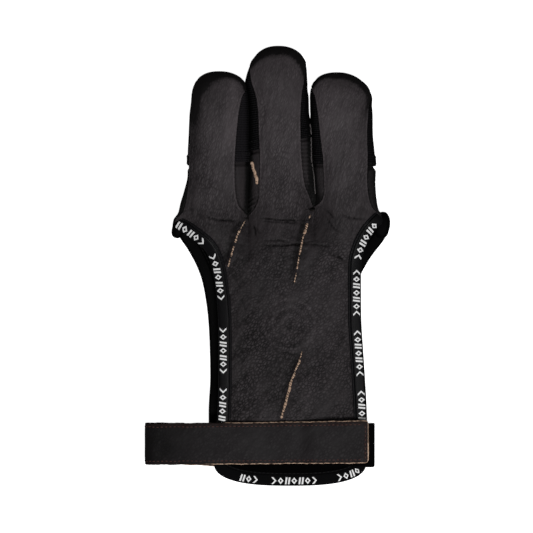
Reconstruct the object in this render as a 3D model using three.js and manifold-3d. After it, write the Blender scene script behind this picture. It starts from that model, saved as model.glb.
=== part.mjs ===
// A three-finger archery glove, lying on its back with the leather face up and the fingers along +Y.
// The leather front covers three finger stalls and the palm. Elastic inserts and leather channels
// close the backs of the stalls, a fabric panel lies behind the hand, tape binds the open edges,
// and a leather strap loops round the wrist and closes on a black tab.
// Millimetres. X runs from the ring finger to the index finger, and Z is up from the surface below.
import * as THREE from "three";
import Module from "manifold-3d";

const wasm = await Module();
wasm.setup();

// Finger stalls, measured from the crotch between the ring and middle fingers.
const RING_LENGTH = 67.7;
const MIDDLE_LENGTH = 79.5;
const INDEX_LENGTH = 67.2;
const RING_WIDTH = 28.1;
const MIDDLE_WIDTH = 28.4;
const INDEX_WIDTH = 28.2;
const FINGER_HEIGHT = 16;
const FINGER_GAP = 0.5;
const RING_CORNER_DROP = 4;
const INDEX_CROTCH_RISE = 4.2;
const INDEX_CORNER_DROP = 2;

// The hand below the fingers.
const PALM_LENGTH = 124.5;
const PALM_HEIGHT = 13;
const WAIST_WIDTH = 67.2;
const WAIST_OFFSET = 4.9;
const HEM_BOW = 8.7;
const BACK_SHORTER = 3.5;
const KNUCKLE_FADE = 26;
const LEATHER_UNDER_STRAP = 3;
const RAMP_LENGTH = 22;
const RAMP_TO_STRAP = 6;

// Walls of each material, and the clearances between sewn pieces.
const LEATHER = 1.2;
const ELASTIC = 1.0;
const FABRIC = 1.0;
const SEAM_GAP = 0.5;
const CLEARANCE = 0.3;
const ELASTIC_LAP = 4;

// The tape folded round the open edges.
const BINDING_WIDTH = 6;
const TAPE = 0.5;

// The wrist strap and the tab that it closes on.
const STRAP_WIDTH = 20;
const STRAP_THICKNESS = 1.6;
const STRAP_FROM_HEM = 19.6;
const STRAP_RUN = 104;
const STRAP_OVERHANG = 0.5;
const STRAP_TILT = 1.0;
const STRAP_SKEW = 2.2;
const FOLD_HEIGHT = 11.6;
const TAB_THICKNESS = 1.2;
const TAB_SHOWS = 3.0;
const TAB_DROP = 0.9;
const TAB_OVERLAP = 22;
const TAB_BEND = 4.5;
const RISE_LENGTH = 9;
const RISE_CLEARANCE = 2;

// The three sewn tucks on the palm.
const TUCK_WIDTH = 1.6;
const TUCK_HEIGHT = 0.7;
const TUCK_STATIONS = 14;
const TUCK_TIP = 0.4;
const TUCK_GROWTH = 0.3;

// A table is rows of numbers under named columns.
function table(columns, rows) {
  const names = columns.split(" ");
  return rows.map((row) => Object.fromEntries(names.map((name, k) => [name, row[k]])));
}

// at is the share of the stall's length; centre and half are shares of its half width.
// seamLeft and seamRight say how far out the front leather reaches, as shares of the half width there.
const RING_SECTIONS = table("at centre half seamLeft seamRight", [
  [0.0, -0.278, 1.249, 0.94, 1.0],
  [0.04, -0.263, 1.235, 0.93, 0.9],
  [0.09, -0.178, 1.157, 0.86, 0.74],
  [0.15, -0.139, 1.125, 0.84, 0.66],
  [0.22, -0.082, 1.075, 0.88, 0.6],
  [0.34, -0.007, 1.007, 0.95, 0.55],
  [0.46, 0.0, 1.0, 0.94, 0.57],
  [0.6, 0.018, 0.98, 0.95, 0.62],
  [0.72, 0.03, 0.965, 0.96, 0.68],
  [0.82, 0.04, 0.925, 0.98, 0.8],
  [0.9, 0.035, 0.92, 1.0, 1.0],
  [1.0, 0.0, 0.94, 1.0, 1.0],
]);
const MIDDLE_SECTIONS = table("at centre half seamLeft seamRight", [
  [0.0, 0.007, 1.056, 1.0, 1.0],
  [0.04, 0.007, 1.056, 0.82, 0.96],
  [0.09, 0.015, 1.045, 0.71, 0.88],
  [0.15, 0.02, 1.035, 0.685, 0.77],
  [0.22, 0.02, 1.02, 0.68, 0.72],
  [0.34, 0.01, 1.003, 0.675, 0.685],
  [0.46, 0.0, 0.994, 0.695, 0.675],
  [0.6, -0.04, 0.961, 0.715, 0.74],
  [0.72, -0.07, 0.955, 0.76, 0.83],
  [0.82, -0.11, 0.966, 0.84, 0.93],
  [0.9, -0.075, 0.955, 1.0, 1.0],
  [1.0, -0.09, 0.96, 1.0, 1.0],
]);
const INDEX_SECTIONS = table("at centre half seamLeft seamRight", [
  [0.0, 0.262, 1.199, 1.0, 0.94],
  [0.04, 0.213, 1.149, 0.85, 0.92],
  [0.09, 0.135, 1.057, 0.73, 0.81],
  [0.15, 0.113, 1.035, 0.695, 0.75],
  [0.22, 0.089, 1.018, 0.685, 0.73],
  [0.34, 0.057, 1.014, 0.69, 0.72],
  [0.46, 0.039, 1.018, 0.72, 0.755],
  [0.6, -0.004, 1.004, 0.76, 0.8],
  [0.72, -0.014, 1.007, 0.8, 0.83],
  [0.82, -0.035, 0.986, 0.88, 0.92],
  [0.9, -0.092, 0.993, 1.0, 1.0],
  [1.0, -0.177, 0.979, 1.0, 1.0],
]);

// The stalls' height along their length, as a share of the finger height.
const STALL_HEIGHTS = table("at top", [
  [0.0, 0.8],
  [0.09, 0.82],
  [0.22, 0.86],
  [0.34, 0.9],
  [0.46, 0.94],
  [0.6, 0.98],
  [0.72, 1.0],
  [0.9, 0.99],
  [1.0, 0.96],
]);

// The panels' open edges, from the crotch line to the hem's corners. at is a share of the palm length.
// The others are shares of each side's flare, from 0 at the front's waist to 1 at the corner.
const PALM_EDGES = table("at frontLeft frontRight backLeft backRight", [
  [0.0, 1.02, 1.1, 1.0, 0.9],
  [0.016, 1.01, 1.0, 1.0, 1.0],
  [0.03, 1.0, 0.74, 1.0, 1.11],
  [0.055, 0.79, 0.48, 0.91, 1.07],
  [0.08, 0.58, 0.29, 0.825, 0.94],
  [0.105, 0.39, 0.15, 0.72, 0.73],
  [0.13, 0.27, 0.04, 0.63, 0.5],
  [0.175, 0.16, -0.06, 0.49, 0.16],
  [0.235, 0.092, -0.073, 0.36, -0.17],
  [0.31, 0.037, -0.073, 0.275, -0.34],
  [0.385, 0.009, -0.06, 0.223, -0.42],
  [0.475, 0.0, 0.0, 0.195, -0.42],
  [0.6, 0.0, 0.092, 0.181, -0.37],
  [0.72, 0.02, 0.165, 0.215, -0.294],
  [0.83, 0.06, 0.183, 0.21, -0.165],
  [0.93, 0.1, 0.138, 0.15, -0.1],
]);

// Heights of the front panel's edge and crown, as shares of the palm height.
const PALM_HEIGHTS = table("at edge crown", [
  [0.0, 0.45, 0.98],
  [0.05, 0.47, 0.98],
  [0.12, 0.54, 0.97],
  [0.2, 0.61, 0.95],
  [0.35, 0.69, 0.92],
  [0.5, 0.74, 0.91],
  [0.65, 0.8, 0.92],
  [0.74, 0.84, 0.94],
  [1.0, 0.84, 0.94],
]);

// The tucks: across is a share of the half waist from the waist's middle, down of the palm length.
const TUCKS = [
  table("across down", [[-0.63, 0.012], [-0.685, 0.038], [-0.736, 0.067], [-0.805, 0.128], [-0.865, 0.183]]),
  table("across down", [[0.28, -0.01], [0.242, 0.013], [0.177, 0.071], [0.126, 0.132], [0.05, 0.244]]),
  table("across down", [[0.155, 0.5], [0.11, 0.54], [0.01, 0.61], [-0.05, 0.67], [-0.135, 0.755]]),
];

// Shares that shape every stall: where its round tip and its leather cap begin, how high its widest
// line lies, and how square its upper and lower halves are.
const TIP_FROM = 0.8;
const TIP_ROUND = 2.3;
const CAP_FROM = 0.9;
const WIDEST = 0.45;
const SQUARE_TOP = 2.4;
const SQUARE_BASE = 1.5;
const SQUARE_UNDER = 3.2;

// Shares of a stall's length: where its base blends out of the palm and grows square, where the
// channel's lowered lips end, and where it starts and ends its step down under the elastic.
const BASE_BLEND = 0.12;
const SQUARE_BLEND = 0.25;
const LIP_FADE = 0.18;
const STEP_FROM = 0.14;
const STEP_TO = 0.01;

// How flat the front panel's crown is across, at the fingers and over the palm.
const CROWN_AT_BASE = 6;
const CROWN_AT_PALM = 2.4;

// Row and column counts of the sheets.
const FRONT_COLUMNS = 8;
const BACK_COLUMNS = 10;
const PANEL_COLUMNS = 16;
const STALL_ROWS = [0, 0.03, 0.07, 0.12, 0.19, 0.28, 0.38, 0.5, 0.62, 0.74, 0.84, CAP_FROM];
const CAP_ROWS = [0.93, 0.955, 0.977, 0.992];
const PALM_ROWS = [0, 0.025, 0.06, 0.1, 0.15, 0.21, 0.28, 0.38, 0.5, 0.62, 0.75, 0.88, 1];
const WRIST_ROWS = [0, 0.3, 0.6, 0.85, 1];
const BACK_ROWS = [0, 0.012, 0.035, 0.07, 0.12, 0.18, 0.26, 0.36, 0.48, 0.58, 0.68, 0.76, 0.88, 1];

const mix = (a, b, share) => a + (b - a) * share;
const clamp = (value) => Math.min(1, Math.max(0, value));
const smooth = (value) => clamp(value) ** 2 * (3 - 2 * clamp(value));
const power = (value, exponent) => Math.sign(value) * Math.abs(value) ** exponent;

// Reads one column of a table between its rows, along a smooth curve that never overshoots.
function read(rows, column, at) {
  if (at <= rows[0].at) return rows[0][column];
  const last = rows.length - 1;
  if (at >= rows[last].at) return rows[last][column];
  const k = rows.findIndex((row) => row.at > at) - 1;
  const slope = (i) => (rows[i + 1][column] - rows[i][column]) / (rows[i + 1].at - rows[i].at);
  const tangent = (i) => {
    if (i === 0 || i === last) return 0;
    const [before, after] = [slope(i - 1), slope(i)];
    return before * after <= 0 ? 0 : (2 * before * after) / (before + after);
  };
  const step = rows[k + 1].at - rows[k].at;
  const s = (at - rows[k].at) / step;
  return (
    rows[k][column] * (1 + 2 * s) * (1 - s) ** 2 +
    tangent(k) * step * s * (1 - s) ** 2 +
    rows[k + 1][column] * s * s * (3 - 2 * s) +
    tangent(k + 1) * step * s * s * (s - 1)
  );
}

// The three stalls side by side, with the heights of the crotches at each one's sides.
const middleToRing = (RING_WIDTH + MIDDLE_WIDTH) / 2 + FINGER_GAP;
const middleToIndex = (INDEX_WIDTH + MIDDLE_WIDTH) / 2 + FINGER_GAP;
const FINGERS = [
  {
    name: "index",
    axis: middleToIndex,
    halfWidth: INDEX_WIDTH / 2,
    length: INDEX_LENGTH,
    sections: INDEX_SECTIONS,
    baseLeft: INDEX_CROTCH_RISE,
    baseRight: -INDEX_CORNER_DROP,
    elasticFrom: 0.36,
  },
  {
    name: "middle",
    axis: 0,
    halfWidth: MIDDLE_WIDTH / 2,
    length: MIDDLE_LENGTH,
    sections: MIDDLE_SECTIONS,
    baseLeft: 0,
    baseRight: INDEX_CROTCH_RISE,
    elasticFrom: 0.45,
  },
  {
    name: "ring",
    axis: -middleToRing,
    halfWidth: RING_WIDTH / 2,
    length: RING_LENGTH,
    sections: RING_SECTIONS,
    baseLeft: -RING_CORNER_DROP,
    baseRight: 0,
    elasticFrom: 0.36,
  },
];
const [INDEX, MIDDLE, RING] = FINGERS;

// A stall's middle and half width across, at a share of its length, before the tip closes in.
function stallAcross(finger, at) {
  return {
    centre: finger.axis + finger.halfWidth * read(finger.sections, "centre", at),
    half: finger.halfWidth * read(finger.sections, "half", at),
  };
}

const tipShare = (at) => clamp((at - TIP_FROM) / (1 - TIP_FROM));
const tipRound = (at) => (1 - tipShare(at) ** TIP_ROUND) ** (1 / TIP_ROUND);
const stallTop = (at) => FINGER_HEIGHT * read(STALL_HEIGHTS, "top", at);
const squareness = (at) => mix(SQUARE_BASE, SQUARE_TOP, smooth(at / SQUARE_BLEND));

// A point on a stall at a share of its length and an angle: 0 is its right side, a quarter turn its top.
function stallPoint(finger, at, angle) {
  const { centre, half } = stallAcross(finger, at);
  const round = tipRound(at);
  const top = stallTop(at);
  const widest = WIDEST * top;
  const upper = Math.sin(angle) >= 0;
  const square = upper ? squareness(at) : SQUARE_UNDER;
  const across = power(Math.cos(angle), 2 / square);
  const rise = Math.abs(Math.sin(angle)) ** (2 / square);
  const reach = (upper ? top - widest : widest) * round;
  const base = mix(finger.baseLeft, finger.baseRight, (across + 1) / 2);
  return new THREE.Vector3(
    centre + half * round * across,
    mix(base, finger.length, at),
    widest + (upper ? reach : -reach) * rise,
  );
}

// The angle of a seam that lies a share of the half width out from a stall's middle.
const seamAngle = (at, share) => Math.acos(clamp(share) ** (squareness(at) / 2));
const rightSeam = (finger, at) => seamAngle(at, read(finger.sections, "seamRight", at));
const leftSeam = (finger, at) => Math.PI - seamAngle(at, read(finger.sections, "seamLeft", at));

// The outward direction of a stall's skin.
function stallNormal(finger, at, angle) {
  const step = 0.01;
  const along = stallPoint(finger, at + step, angle).sub(stallPoint(finger, at - step, angle));
  const round = stallPoint(finger, at, angle + step).sub(stallPoint(finger, at, angle - step));
  return along.cross(round).normalize();
}

// The rows of a stall's sheets between two shares of its length, so that neighbours share their facets.
function stallRows(finger, from, to) {
  const lapEnd = finger.elasticFrom + ELASTIC_LAP / finger.length;
  const rows = [from, ...STALL_ROWS, finger.elasticFrom, lapEnd, to];
  const kept = rows.filter((at) => at >= from && at <= to).sort((a, b) => a - b);
  return kept.filter((at, k) => k === 0 || at - kept[k - 1] > 1e-6);
}

// The angle that spans a given length along a stall's skin.
function angleOf(finger, at, angle, length) {
  const step = 0.02;
  const skin = stallPoint(finger, at, angle).distanceTo(stallPoint(finger, at, angle + step));
  return (length * step) / Math.max(skin, 1e-3);
}

// The waist and the corners, which the palm's edge table spreads between.
const waistLeft = WAIST_OFFSET - WAIST_WIDTH / 2;
const waistRight = WAIST_OFFSET + WAIST_WIDTH / 2;
const ringBase = stallAcross(RING, 0);
const indexBase = stallAcross(INDEX, 0);
const cornerLeft = ringBase.centre - ringBase.half;
const cornerRight = indexBase.centre + indexBase.half;
const sideEnd = PALM_LENGTH - HEM_BOW;

const depthShare = (y) => clamp(-Math.max(y, -sideEnd) / PALM_LENGTH);
const edgeLeft = (side, y) => mix(waistLeft, cornerLeft, read(PALM_EDGES, `${side}Left`, depthShare(y)));
const edgeRight = (side, y) => mix(waistRight, cornerRight, read(PALM_EDGES, `${side}Right`, depthShare(y)));

// The crotches between neighbouring stalls, and the line that the stalls' bases make.
const crotchBetween = (right, left) => {
  const [a, b] = [stallAcross(right, 0), stallAcross(left, 0)];
  return (a.centre - a.half + b.centre + b.half) / 2;
};
const crotchIndex = crotchBetween(INDEX, MIDDLE);
const crotchRing = crotchBetween(MIDDLE, RING);

function baseLine(x) {
  const stops = [
    [cornerLeft, -RING_CORNER_DROP],
    [crotchRing, 0],
    [crotchIndex, INDEX_CROTCH_RISE],
    [cornerRight, -INDEX_CORNER_DROP],
  ];
  const k = x < crotchRing ? 0 : x < crotchIndex ? 1 : 2;
  const share = clamp((x - stops[k][0]) / (stops[k + 1][0] - stops[k][0]));
  return mix(stops[k][1], stops[k + 1][1], share);
}

// The height of the three domes that the stalls make where they leave the palm.
function domes(x) {
  const top = stallTop(0);
  const widest = WIDEST * top;
  const rises = FINGERS.map((finger) => {
    const { centre, half } = stallAcross(finger, 0);
    const out = Math.abs(x - centre) / half;
    return out < 1 ? (1 - out ** SQUARE_BASE) ** (1 / SQUARE_BASE) : 0;
  });
  return widest + (top - widest) * Math.max(...rises);
}

// How far the domes have faded into the flat of the hand.
const faded = (x, y) => smooth((baseLine(x) - y) / KNUCKLE_FADE);

// The height of the front panel's outer face over the surface that the glove lies on.
function frontHeight(x, y) {
  const at = clamp(-y / PALM_LENGTH);
  const edge = PALM_HEIGHT * read(PALM_HEIGHTS, "edge", at);
  const crown = PALM_HEIGHT * read(PALM_HEIGHTS, "crown", at);
  const [left, right] = [edgeLeft("front", y), edgeRight("front", y)];
  const out = clamp(Math.abs(x - (left + right) / 2) / ((right - left) / 2));
  const fade = faded(x, y);
  const shape = mix(domes(x), crown, fade);
  return edge + (shape - edge) * (1 - out ** mix(CROWN_AT_BASE, CROWN_AT_PALM, fade));
}

// The underside of the back panel: flat on the surface, then up over the strap.
const bindingLift = TAPE + CLEARANCE;
const strapLift = STRAP_THICKNESS + CLEARANCE + bindingLift;
const strapMiddle = -(PALM_LENGTH - STRAP_FROM_HEM);
const strapTop = strapMiddle + STRAP_WIDTH / 2;
const rampTop = strapTop + RAMP_TO_STRAP + RAMP_LENGTH;
const backHeight = (y) => mix(bindingLift, strapLift, smooth((rampTop - y) / RAMP_LENGTH));

// A sheet is a list of points and outward faces, made into a solid with a wall behind it.
class Sheet {
  constructor() {
    this.points = [];
    this.given = [];
    this.faces = [];
  }

  // Adds a point, with its outward direction where the faces alone would give a wrong one.
  add(point, normal = null) {
    this.points.push(point);
    this.given.push(normal);
    return this.points.length - 1;
  }

  quad(a, b, c, d) {
    this.faces.push([a, b, c], [a, c, d]);
  }

  // Joins two rows of point numbers that run the same way.
  strip(lower, upper) {
    for (let k = 0; k + 1 < lower.length; k += 1) this.quad(lower[k], upper[k], upper[k + 1], lower[k + 1]);
  }

  normals() {
    const sums = this.points.map(() => new THREE.Vector3());
    for (const [a, b, c] of this.faces) {
      const [pa, pb, pc] = [this.points[a], this.points[b], this.points[c]];
      const normal = pb.clone().sub(pa).cross(pc.clone().sub(pa));
      for (const k of [a, b, c]) sums[k].add(normal);
    }
    return sums.map((sum, k) => this.given[k] ?? sum.normalize());
  }

  // The closed triangles of the sheet with its wall.
  solid(wall) {
    const count = this.points.length;
    const normals = this.normals();
    const inner = this.points.map((point, k) => point.clone().addScaledVector(normals[k], -wall));
    const triangles = [...this.faces];
    for (const [a, b, c] of this.faces) triangles.push([c + count, b + count, a + count]);
    const directed = new Set(this.faces.flatMap(([a, b, c]) => [`${a} ${b}`, `${b} ${c}`, `${c} ${a}`]));
    for (const edge of directed) {
      const [a, b] = edge.split(" ").map(Number);
      if (directed.has(`${b} ${a}`)) continue;
      triangles.push([b, a, a + count], [b, a + count, b + count]);
    }
    return { points: [...this.points, ...inner], triangles };
  }
}

// A solid through a row of closed sections with equal numbers of points.
function loft(sections) {
  const points = sections.flat();
  const size = sections[0].length;
  const triangles = [];
  for (let row = 0; row + 1 < sections.length; row += 1) {
    for (let k = 0; k < size; k += 1) {
      const [a, b] = [row * size + k, row * size + ((k + 1) % size)];
      triangles.push([a, b, b + size], [a, b + size, a + size]);
    }
  }
  const flat = sections[0].map((_, k) => k);
  const cap = THREE.ShapeUtils.triangulateShape(capOutline(sections[0]), []);
  for (const [a, b, c] of cap) triangles.push([flat[c], flat[b], flat[a]]);
  const end = THREE.ShapeUtils.triangulateShape(capOutline(sections[sections.length - 1]), []);
  const first = (sections.length - 1) * size;
  for (const [a, b, c] of end) triangles.push([first + a, first + b, first + c]);
  return { points, triangles };
}

// A section's points laid flat, in its own plane, so that its end can be closed.
function capOutline(section) {
  const normal = new THREE.Vector3();
  section.forEach((point, k) => {
    const next = section[(k + 1) % section.length];
    normal.add(point.clone().cross(next));
  });
  normal.normalize();
  const along = section[1].clone().sub(section[0]).normalize();
  const across = normal.clone().cross(along);
  return section.map((point) => {
    const from = point.clone().sub(section[0]);
    return new THREE.Vector2(from.dot(along), from.dot(across));
  });
}

function solidOf({ points, triangles }) {
  const vertProperties = new Float32Array(points.flatMap((point) => [point.x, point.y, point.z]));
  const triVerts = new Uint32Array(triangles.flat());
  return new wasm.Manifold(new wasm.Mesh({ numProp: 3, vertProperties, triVerts }));
}

function geometryOf(solid) {
  const { vertProperties, numProp, triVerts } = solid.getMesh();
  const positions = new Float32Array((vertProperties.length / numProp) * 3);
  for (let k = 0; k * numProp < vertProperties.length; k += 1) {
    positions.set(vertProperties.subarray(k * numProp, k * numProp + 3), k * 3);
  }
  const geometry = new THREE.BufferGeometry();
  geometry.setAttribute("position", new THREE.BufferAttribute(positions, 3));
  geometry.setIndex(new THREE.BufferAttribute(new Uint32Array(triVerts), 1));
  geometry.computeVertexNormals();
  return geometry;
}

// The front panel's sheet edge, which lies inside the fold of the tape.
function sheetEdge(side, hand, y) {
  const edge = hand === "left" ? edgeLeft : edgeRight;
  const step = 0.5;
  const slope = (edge(side, y - step) - edge(side, y + step)) / (2 * step);
  const inset = bindingLift * Math.hypot(1, slope);
  return edge(side, y) + (hand === "left" ? inset : -inset);
}

const leatherEnd = strapTop - LEATHER_UNDER_STRAP;

// Shares across a stall's front, packed towards its sides like the arc above.
const arcShares = Array.from({ length: FRONT_COLUMNS + 1 }, (_, k) => {
  return (1 - power(Math.cos((Math.PI * k) / FRONT_COLUMNS), 2 / SQUARE_BASE)) / 2;
});

// The front's base row, from the index corner to the ring corner.
const baseStops = [
  sheetEdge("front", "right", -INDEX_CORNER_DROP),
  crotchIndex,
  crotchRing,
  sheetEdge("front", "left", -RING_CORNER_DROP),
];
const baseXs = [baseStops[0]];
for (let f = 0; f < FINGERS.length; f += 1) {
  for (const share of arcShares.slice(1)) baseXs.push(mix(baseStops[f], baseStops[f + 1], share));
}

// A point of the front panel, at a column of the base row and a depth below it.
function palmPoint(column, depth) {
  const count = baseXs.length - 1;
  const baseX = baseXs[column];
  const fade = smooth(depth / KNUCKLE_FADE);
  const y = -depth + baseLine(baseX) * (1 - fade);
  const yRight = -depth - INDEX_CORNER_DROP * (1 - fade);
  const yLeft = -depth - RING_CORNER_DROP * (1 - fade);
  const packed = (baseX - baseStops[0]) / (baseStops[3] - baseStops[0]);
  const share = mix(packed, column / count, fade);
  const x = mix(sheetEdge("front", "right", yRight), sheetEdge("front", "left", yLeft), share);
  return new THREE.Vector3(x, y, frontHeight(x, y));
}

// The front leather: the palm, three stall fronts and their caps over the fingertips.
function frontSheet() {
  const sheet = new Sheet();
  const columns = baseXs.map((_, k) => k);
  const depths = PALM_ROWS.map((share) => -share * leatherEnd);
  const palm = depths.map((depth) => columns.map((k) => sheet.add(palmPoint(k, depth))));
  for (let row = 0; row + 1 < palm.length; row += 1) sheet.strip(palm[row + 1], palm[row]);

  FINGERS.forEach((finger, f) => {
    const first = f * FRONT_COLUMNS;
    let row = palm[0].slice(first, first + FRONT_COLUMNS + 1);
    const raised = row.map((k, j) => {
      const flat = stallPoint(finger, 0, (Math.PI * j) / FRONT_COLUMNS).z;
      return sheet.points[k].z - flat;
    });
    for (const at of stallRows(finger, 0, CAP_FROM).slice(1)) {
      const next = [];
      for (let j = 0; j <= FRONT_COLUMNS; j += 1) {
        const angle = mix(rightSeam(finger, at), leftSeam(finger, at), j / FRONT_COLUMNS);
        const point = stallPoint(finger, at, angle);
        point.z += raised[j] * (1 - smooth(at / BASE_BLEND));
        const known = j === 0 || j === FRONT_COLUMNS || at > BASE_BLEND;
        next.push(sheet.add(point, known ? stallNormal(finger, at, angle) : null));
      }
      sheet.strip(row, next);
      row = next;
    }
    // The cap closes round the back of the fingertip.
    const backAngles = Array.from({ length: BACK_COLUMNS - 1 }, (_, k) => {
      return Math.PI * (1 + (k + 1) / BACK_COLUMNS);
    });
    const capEdge = backAngles.map((angle) => {
      return sheet.add(stallPoint(finger, CAP_FROM, angle), stallNormal(finger, CAP_FROM, angle));
    });
    let ring = [...row, ...capEdge];
    ring.push(ring[0]);
    for (const at of CAP_ROWS) {
      const angles = Array.from({ length: FRONT_COLUMNS }, (_, k) => (Math.PI * k) / FRONT_COLUMNS);
      const round = [...angles, Math.PI, ...backAngles];
      const next = round.map((angle) => sheet.add(stallPoint(finger, at, angle)));
      next.push(next[0]);
      sheet.strip(ring, next);
      ring = next;
    }
    const tip = sheet.add(stallPoint(finger, 1, 0));
    for (let k = 0; k + 1 < ring.length; k += 1) sheet.faces.push([ring[k], tip, ring[k + 1]]);
  });

  sheet.rows = palm;
  return sheet;
}

// The front leather with its three tucks standing on the palm.
function frontLeather(sheet) {
  const leather = solidOf(sheet.solid(LEATHER));
  return TUCKS.reduce((whole, tuck) => whole.add(solidOf(tuckRidge(tuck, sheet))), leather);
}

// The height of a sheet's upper face over a place, on its own facets.
function sheetHeight(sheet, x, y) {
  let highest = -Infinity;
  for (const face of sheet.faces) {
    const [a, b, c] = face.map((k) => sheet.points[k]);
    const area = (b.x - a.x) * (c.y - a.y) - (c.x - a.x) * (b.y - a.y);
    if (area <= 1e-9) continue;
    const u = ((b.x - x) * (c.y - y) - (c.x - x) * (b.y - y)) / area;
    const v = ((c.x - x) * (a.y - y) - (a.x - x) * (c.y - y)) / area;
    if (u < 0 || v < 0 || u + v > 1) continue;
    highest = Math.max(highest, u * a.z + v * b.z + (1 - u - v) * c.z);
  }
  return highest;
}

// One tuck: a low ridge that stands on the palm, tapered at its ends.
function tuckRidge(tuck, sheet) {
  const corners = tuck.map(({ across, down }) => {
    return new THREE.Vector3(WAIST_OFFSET + (across * WAIST_WIDTH) / 2, -down * PALM_LENGTH, 0);
  });
  const path = new THREE.CatmullRomCurve3(corners).getPoints(TUCK_STATIONS);
  return loft(
    path.map((point, k) => {
      const before = path[Math.max(0, k - 1)];
      const after = path[Math.min(path.length - 1, k + 1)];
      const along = after.clone().sub(before).normalize();
      const across = new THREE.Vector3(-along.y, along.x, 0);
      const size = Math.min(1, TUCK_TIP + TUCK_GROWTH * Math.min(k, path.length - 1 - k));
      const outline = [
        [-0.5, -0.7],
        [0.5, -0.7],
        [0.5, 0.1],
        [0.22, 1],
        [-0.22, 1],
        [-0.5, 0.1],
      ];
      return outline.map(([out, up]) => {
        const at = point.clone().addScaledVector(across, out * TUCK_WIDTH * size);
        at.z = sheetHeight(sheet, at.x, at.y) + (up > 0 ? up * TUCK_HEIGHT * size : up * LEATHER);
        return at;
      });
    }),
  );
}

// A piece of a stall's back, from the left seam round below to the right seam.
// inset sinks its face, and lowered drops its upper edges away from the seams.
function stallBack(finger, rows, wall, inset, lowered) {
  const sheet = new Sheet();
  const lines = rows.map((at) => {
    const sunk = inset(at);
    const [left, right] = [leftSeam(finger, at), rightSeam(finger, at)];
    const gap = SEAM_GAP + lowered(at);
    const start = left + angleOf(finger, at, left, gap);
    const end = right + 2 * Math.PI - angleOf(finger, at, right, gap);
    return Array.from({ length: BACK_COLUMNS + 1 }, (_, k) => {
      const angle = mix(start, end, k / BACK_COLUMNS);
      const normal = stallNormal(finger, at, angle);
      return sheet.add(stallPoint(finger, at, angle).addScaledVector(normal, -sunk), normal);
    });
  });
  for (let row = 0; row + 1 < lines.length; row += 1) sheet.strip(lines[row], lines[row + 1]);
  return solidOf(sheet.solid(wall));
}

function elasticInsert(finger) {
  const end = CAP_FROM - SEAM_GAP / finger.length;
  return stallBack(finger, stallRows(finger, finger.elasticFrom, end), ELASTIC, () => 0, () => 0);
}

// The leather channel runs from the palm up under the elastic's end.
function leatherChannel(finger) {
  const lapEnd = finger.elasticFrom + ELASTIC_LAP / finger.length;
  const rows = stallRows(finger, 0, lapEnd);
  const sunk = ELASTIC + CLEARANCE;
  const underElastic = (at) => sunk * smooth((at - finger.elasticFrom + STEP_FROM) / (STEP_FROM - STEP_TO));
  const underPalm = LEATHER + TAPE + 6 * CLEARANCE;
  const belowPalm = (at) => underPalm * (1 - smooth(at / LIP_FADE));
  return stallBack(finger, rows, LEATHER, underElastic, belowPalm);
}

// The bow of a hem, down from the panel's side ends, at a share out from the middle.
const hemBow = (out) => HEM_BOW * Math.sqrt(1 - Math.min(1, Math.abs(out)) ** 2.8);

// The fabric below the front leather, down to the bowed wrist hem.
function wristSheet() {
  const sheet = new Sheet();
  const count = baseXs.length - 1;
  const start = leatherEnd - CLEARANCE;
  const lines = WRIST_ROWS.map((share) => {
    return Array.from({ length: count + 1 }, (_, k) => {
      const ySide = mix(start, -sideEnd, share);
      const [right, left] = [sheetEdge("front", "right", ySide), sheetEdge("front", "left", ySide)];
      const x = mix(right, left, k / count);
      const bow = Math.max(0, hemBow((2 * k) / count - 1) - bindingLift);
      const y = ySide - bow * share;
      return sheet.add(new THREE.Vector3(x, y, frontHeight(x, y)));
    });
  });
  for (let row = 0; row + 1 < lines.length; row += 1) sheet.strip(lines[row + 1], lines[row]);
  sheet.rows = lines;
  return sheet;
}

const backEnd = PALM_LENGTH - HEM_BOW - BACK_SHORTER;

// The fabric panel behind the hand. Its sheet is the upper face, and the wall lies below it.
function backSheet() {
  const sheet = new Sheet();
  const lines = BACK_ROWS.map((share) => {
    return Array.from({ length: PANEL_COLUMNS + 1 }, (_, k) => {
      const depth = share * backEnd;
      const fade = smooth(depth / KNUCKLE_FADE);
      const across = k / PANEL_COLUMNS;
      const right = sheetEdge("back", "right", -depth - INDEX_CORNER_DROP * (1 - fade));
      const left = sheetEdge("back", "left", -depth - RING_CORNER_DROP * (1 - fade));
      const x = mix(right, left, across);
      const bow = Math.max(0, hemBow(2 * across - 1) - bindingLift) * smooth((share - 0.7) / 0.3);
      const y = (baseLine(x) - 2 * CLEARANCE) * (1 - fade) - depth - bow;
      return sheet.add(new THREE.Vector3(x, y, backHeight(y) + FABRIC));
    });
  });
  for (let row = 0; row + 1 < lines.length; row += 1) sheet.strip(lines[row + 1], lines[row]);
  sheet.rows = lines;
  return sheet;
}

// A line of sheet points that runs inward from an open edge, read at distances from that edge.
function tapeStation(sheet, normals, line) {
  const points = line.map((k) => sheet.points[k]);
  const outward = points[0].clone().sub(points[1]).normalize();
  const read = (distance) => {
    let left = distance;
    for (let k = 0; k + 1 < points.length; k += 1) {
      const length = points[k].distanceTo(points[k + 1]);
      if (left <= length || k + 2 === points.length) {
        const share = left / length;
        const normal = normals[line[k]].clone().lerp(normals[line[k + 1]], share).normalize();
        return { point: points[k].clone().lerp(points[k + 1], share), normal };
      }
      left -= length;
    }
    return null;
  };
  return { outward, read };
}

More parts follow.
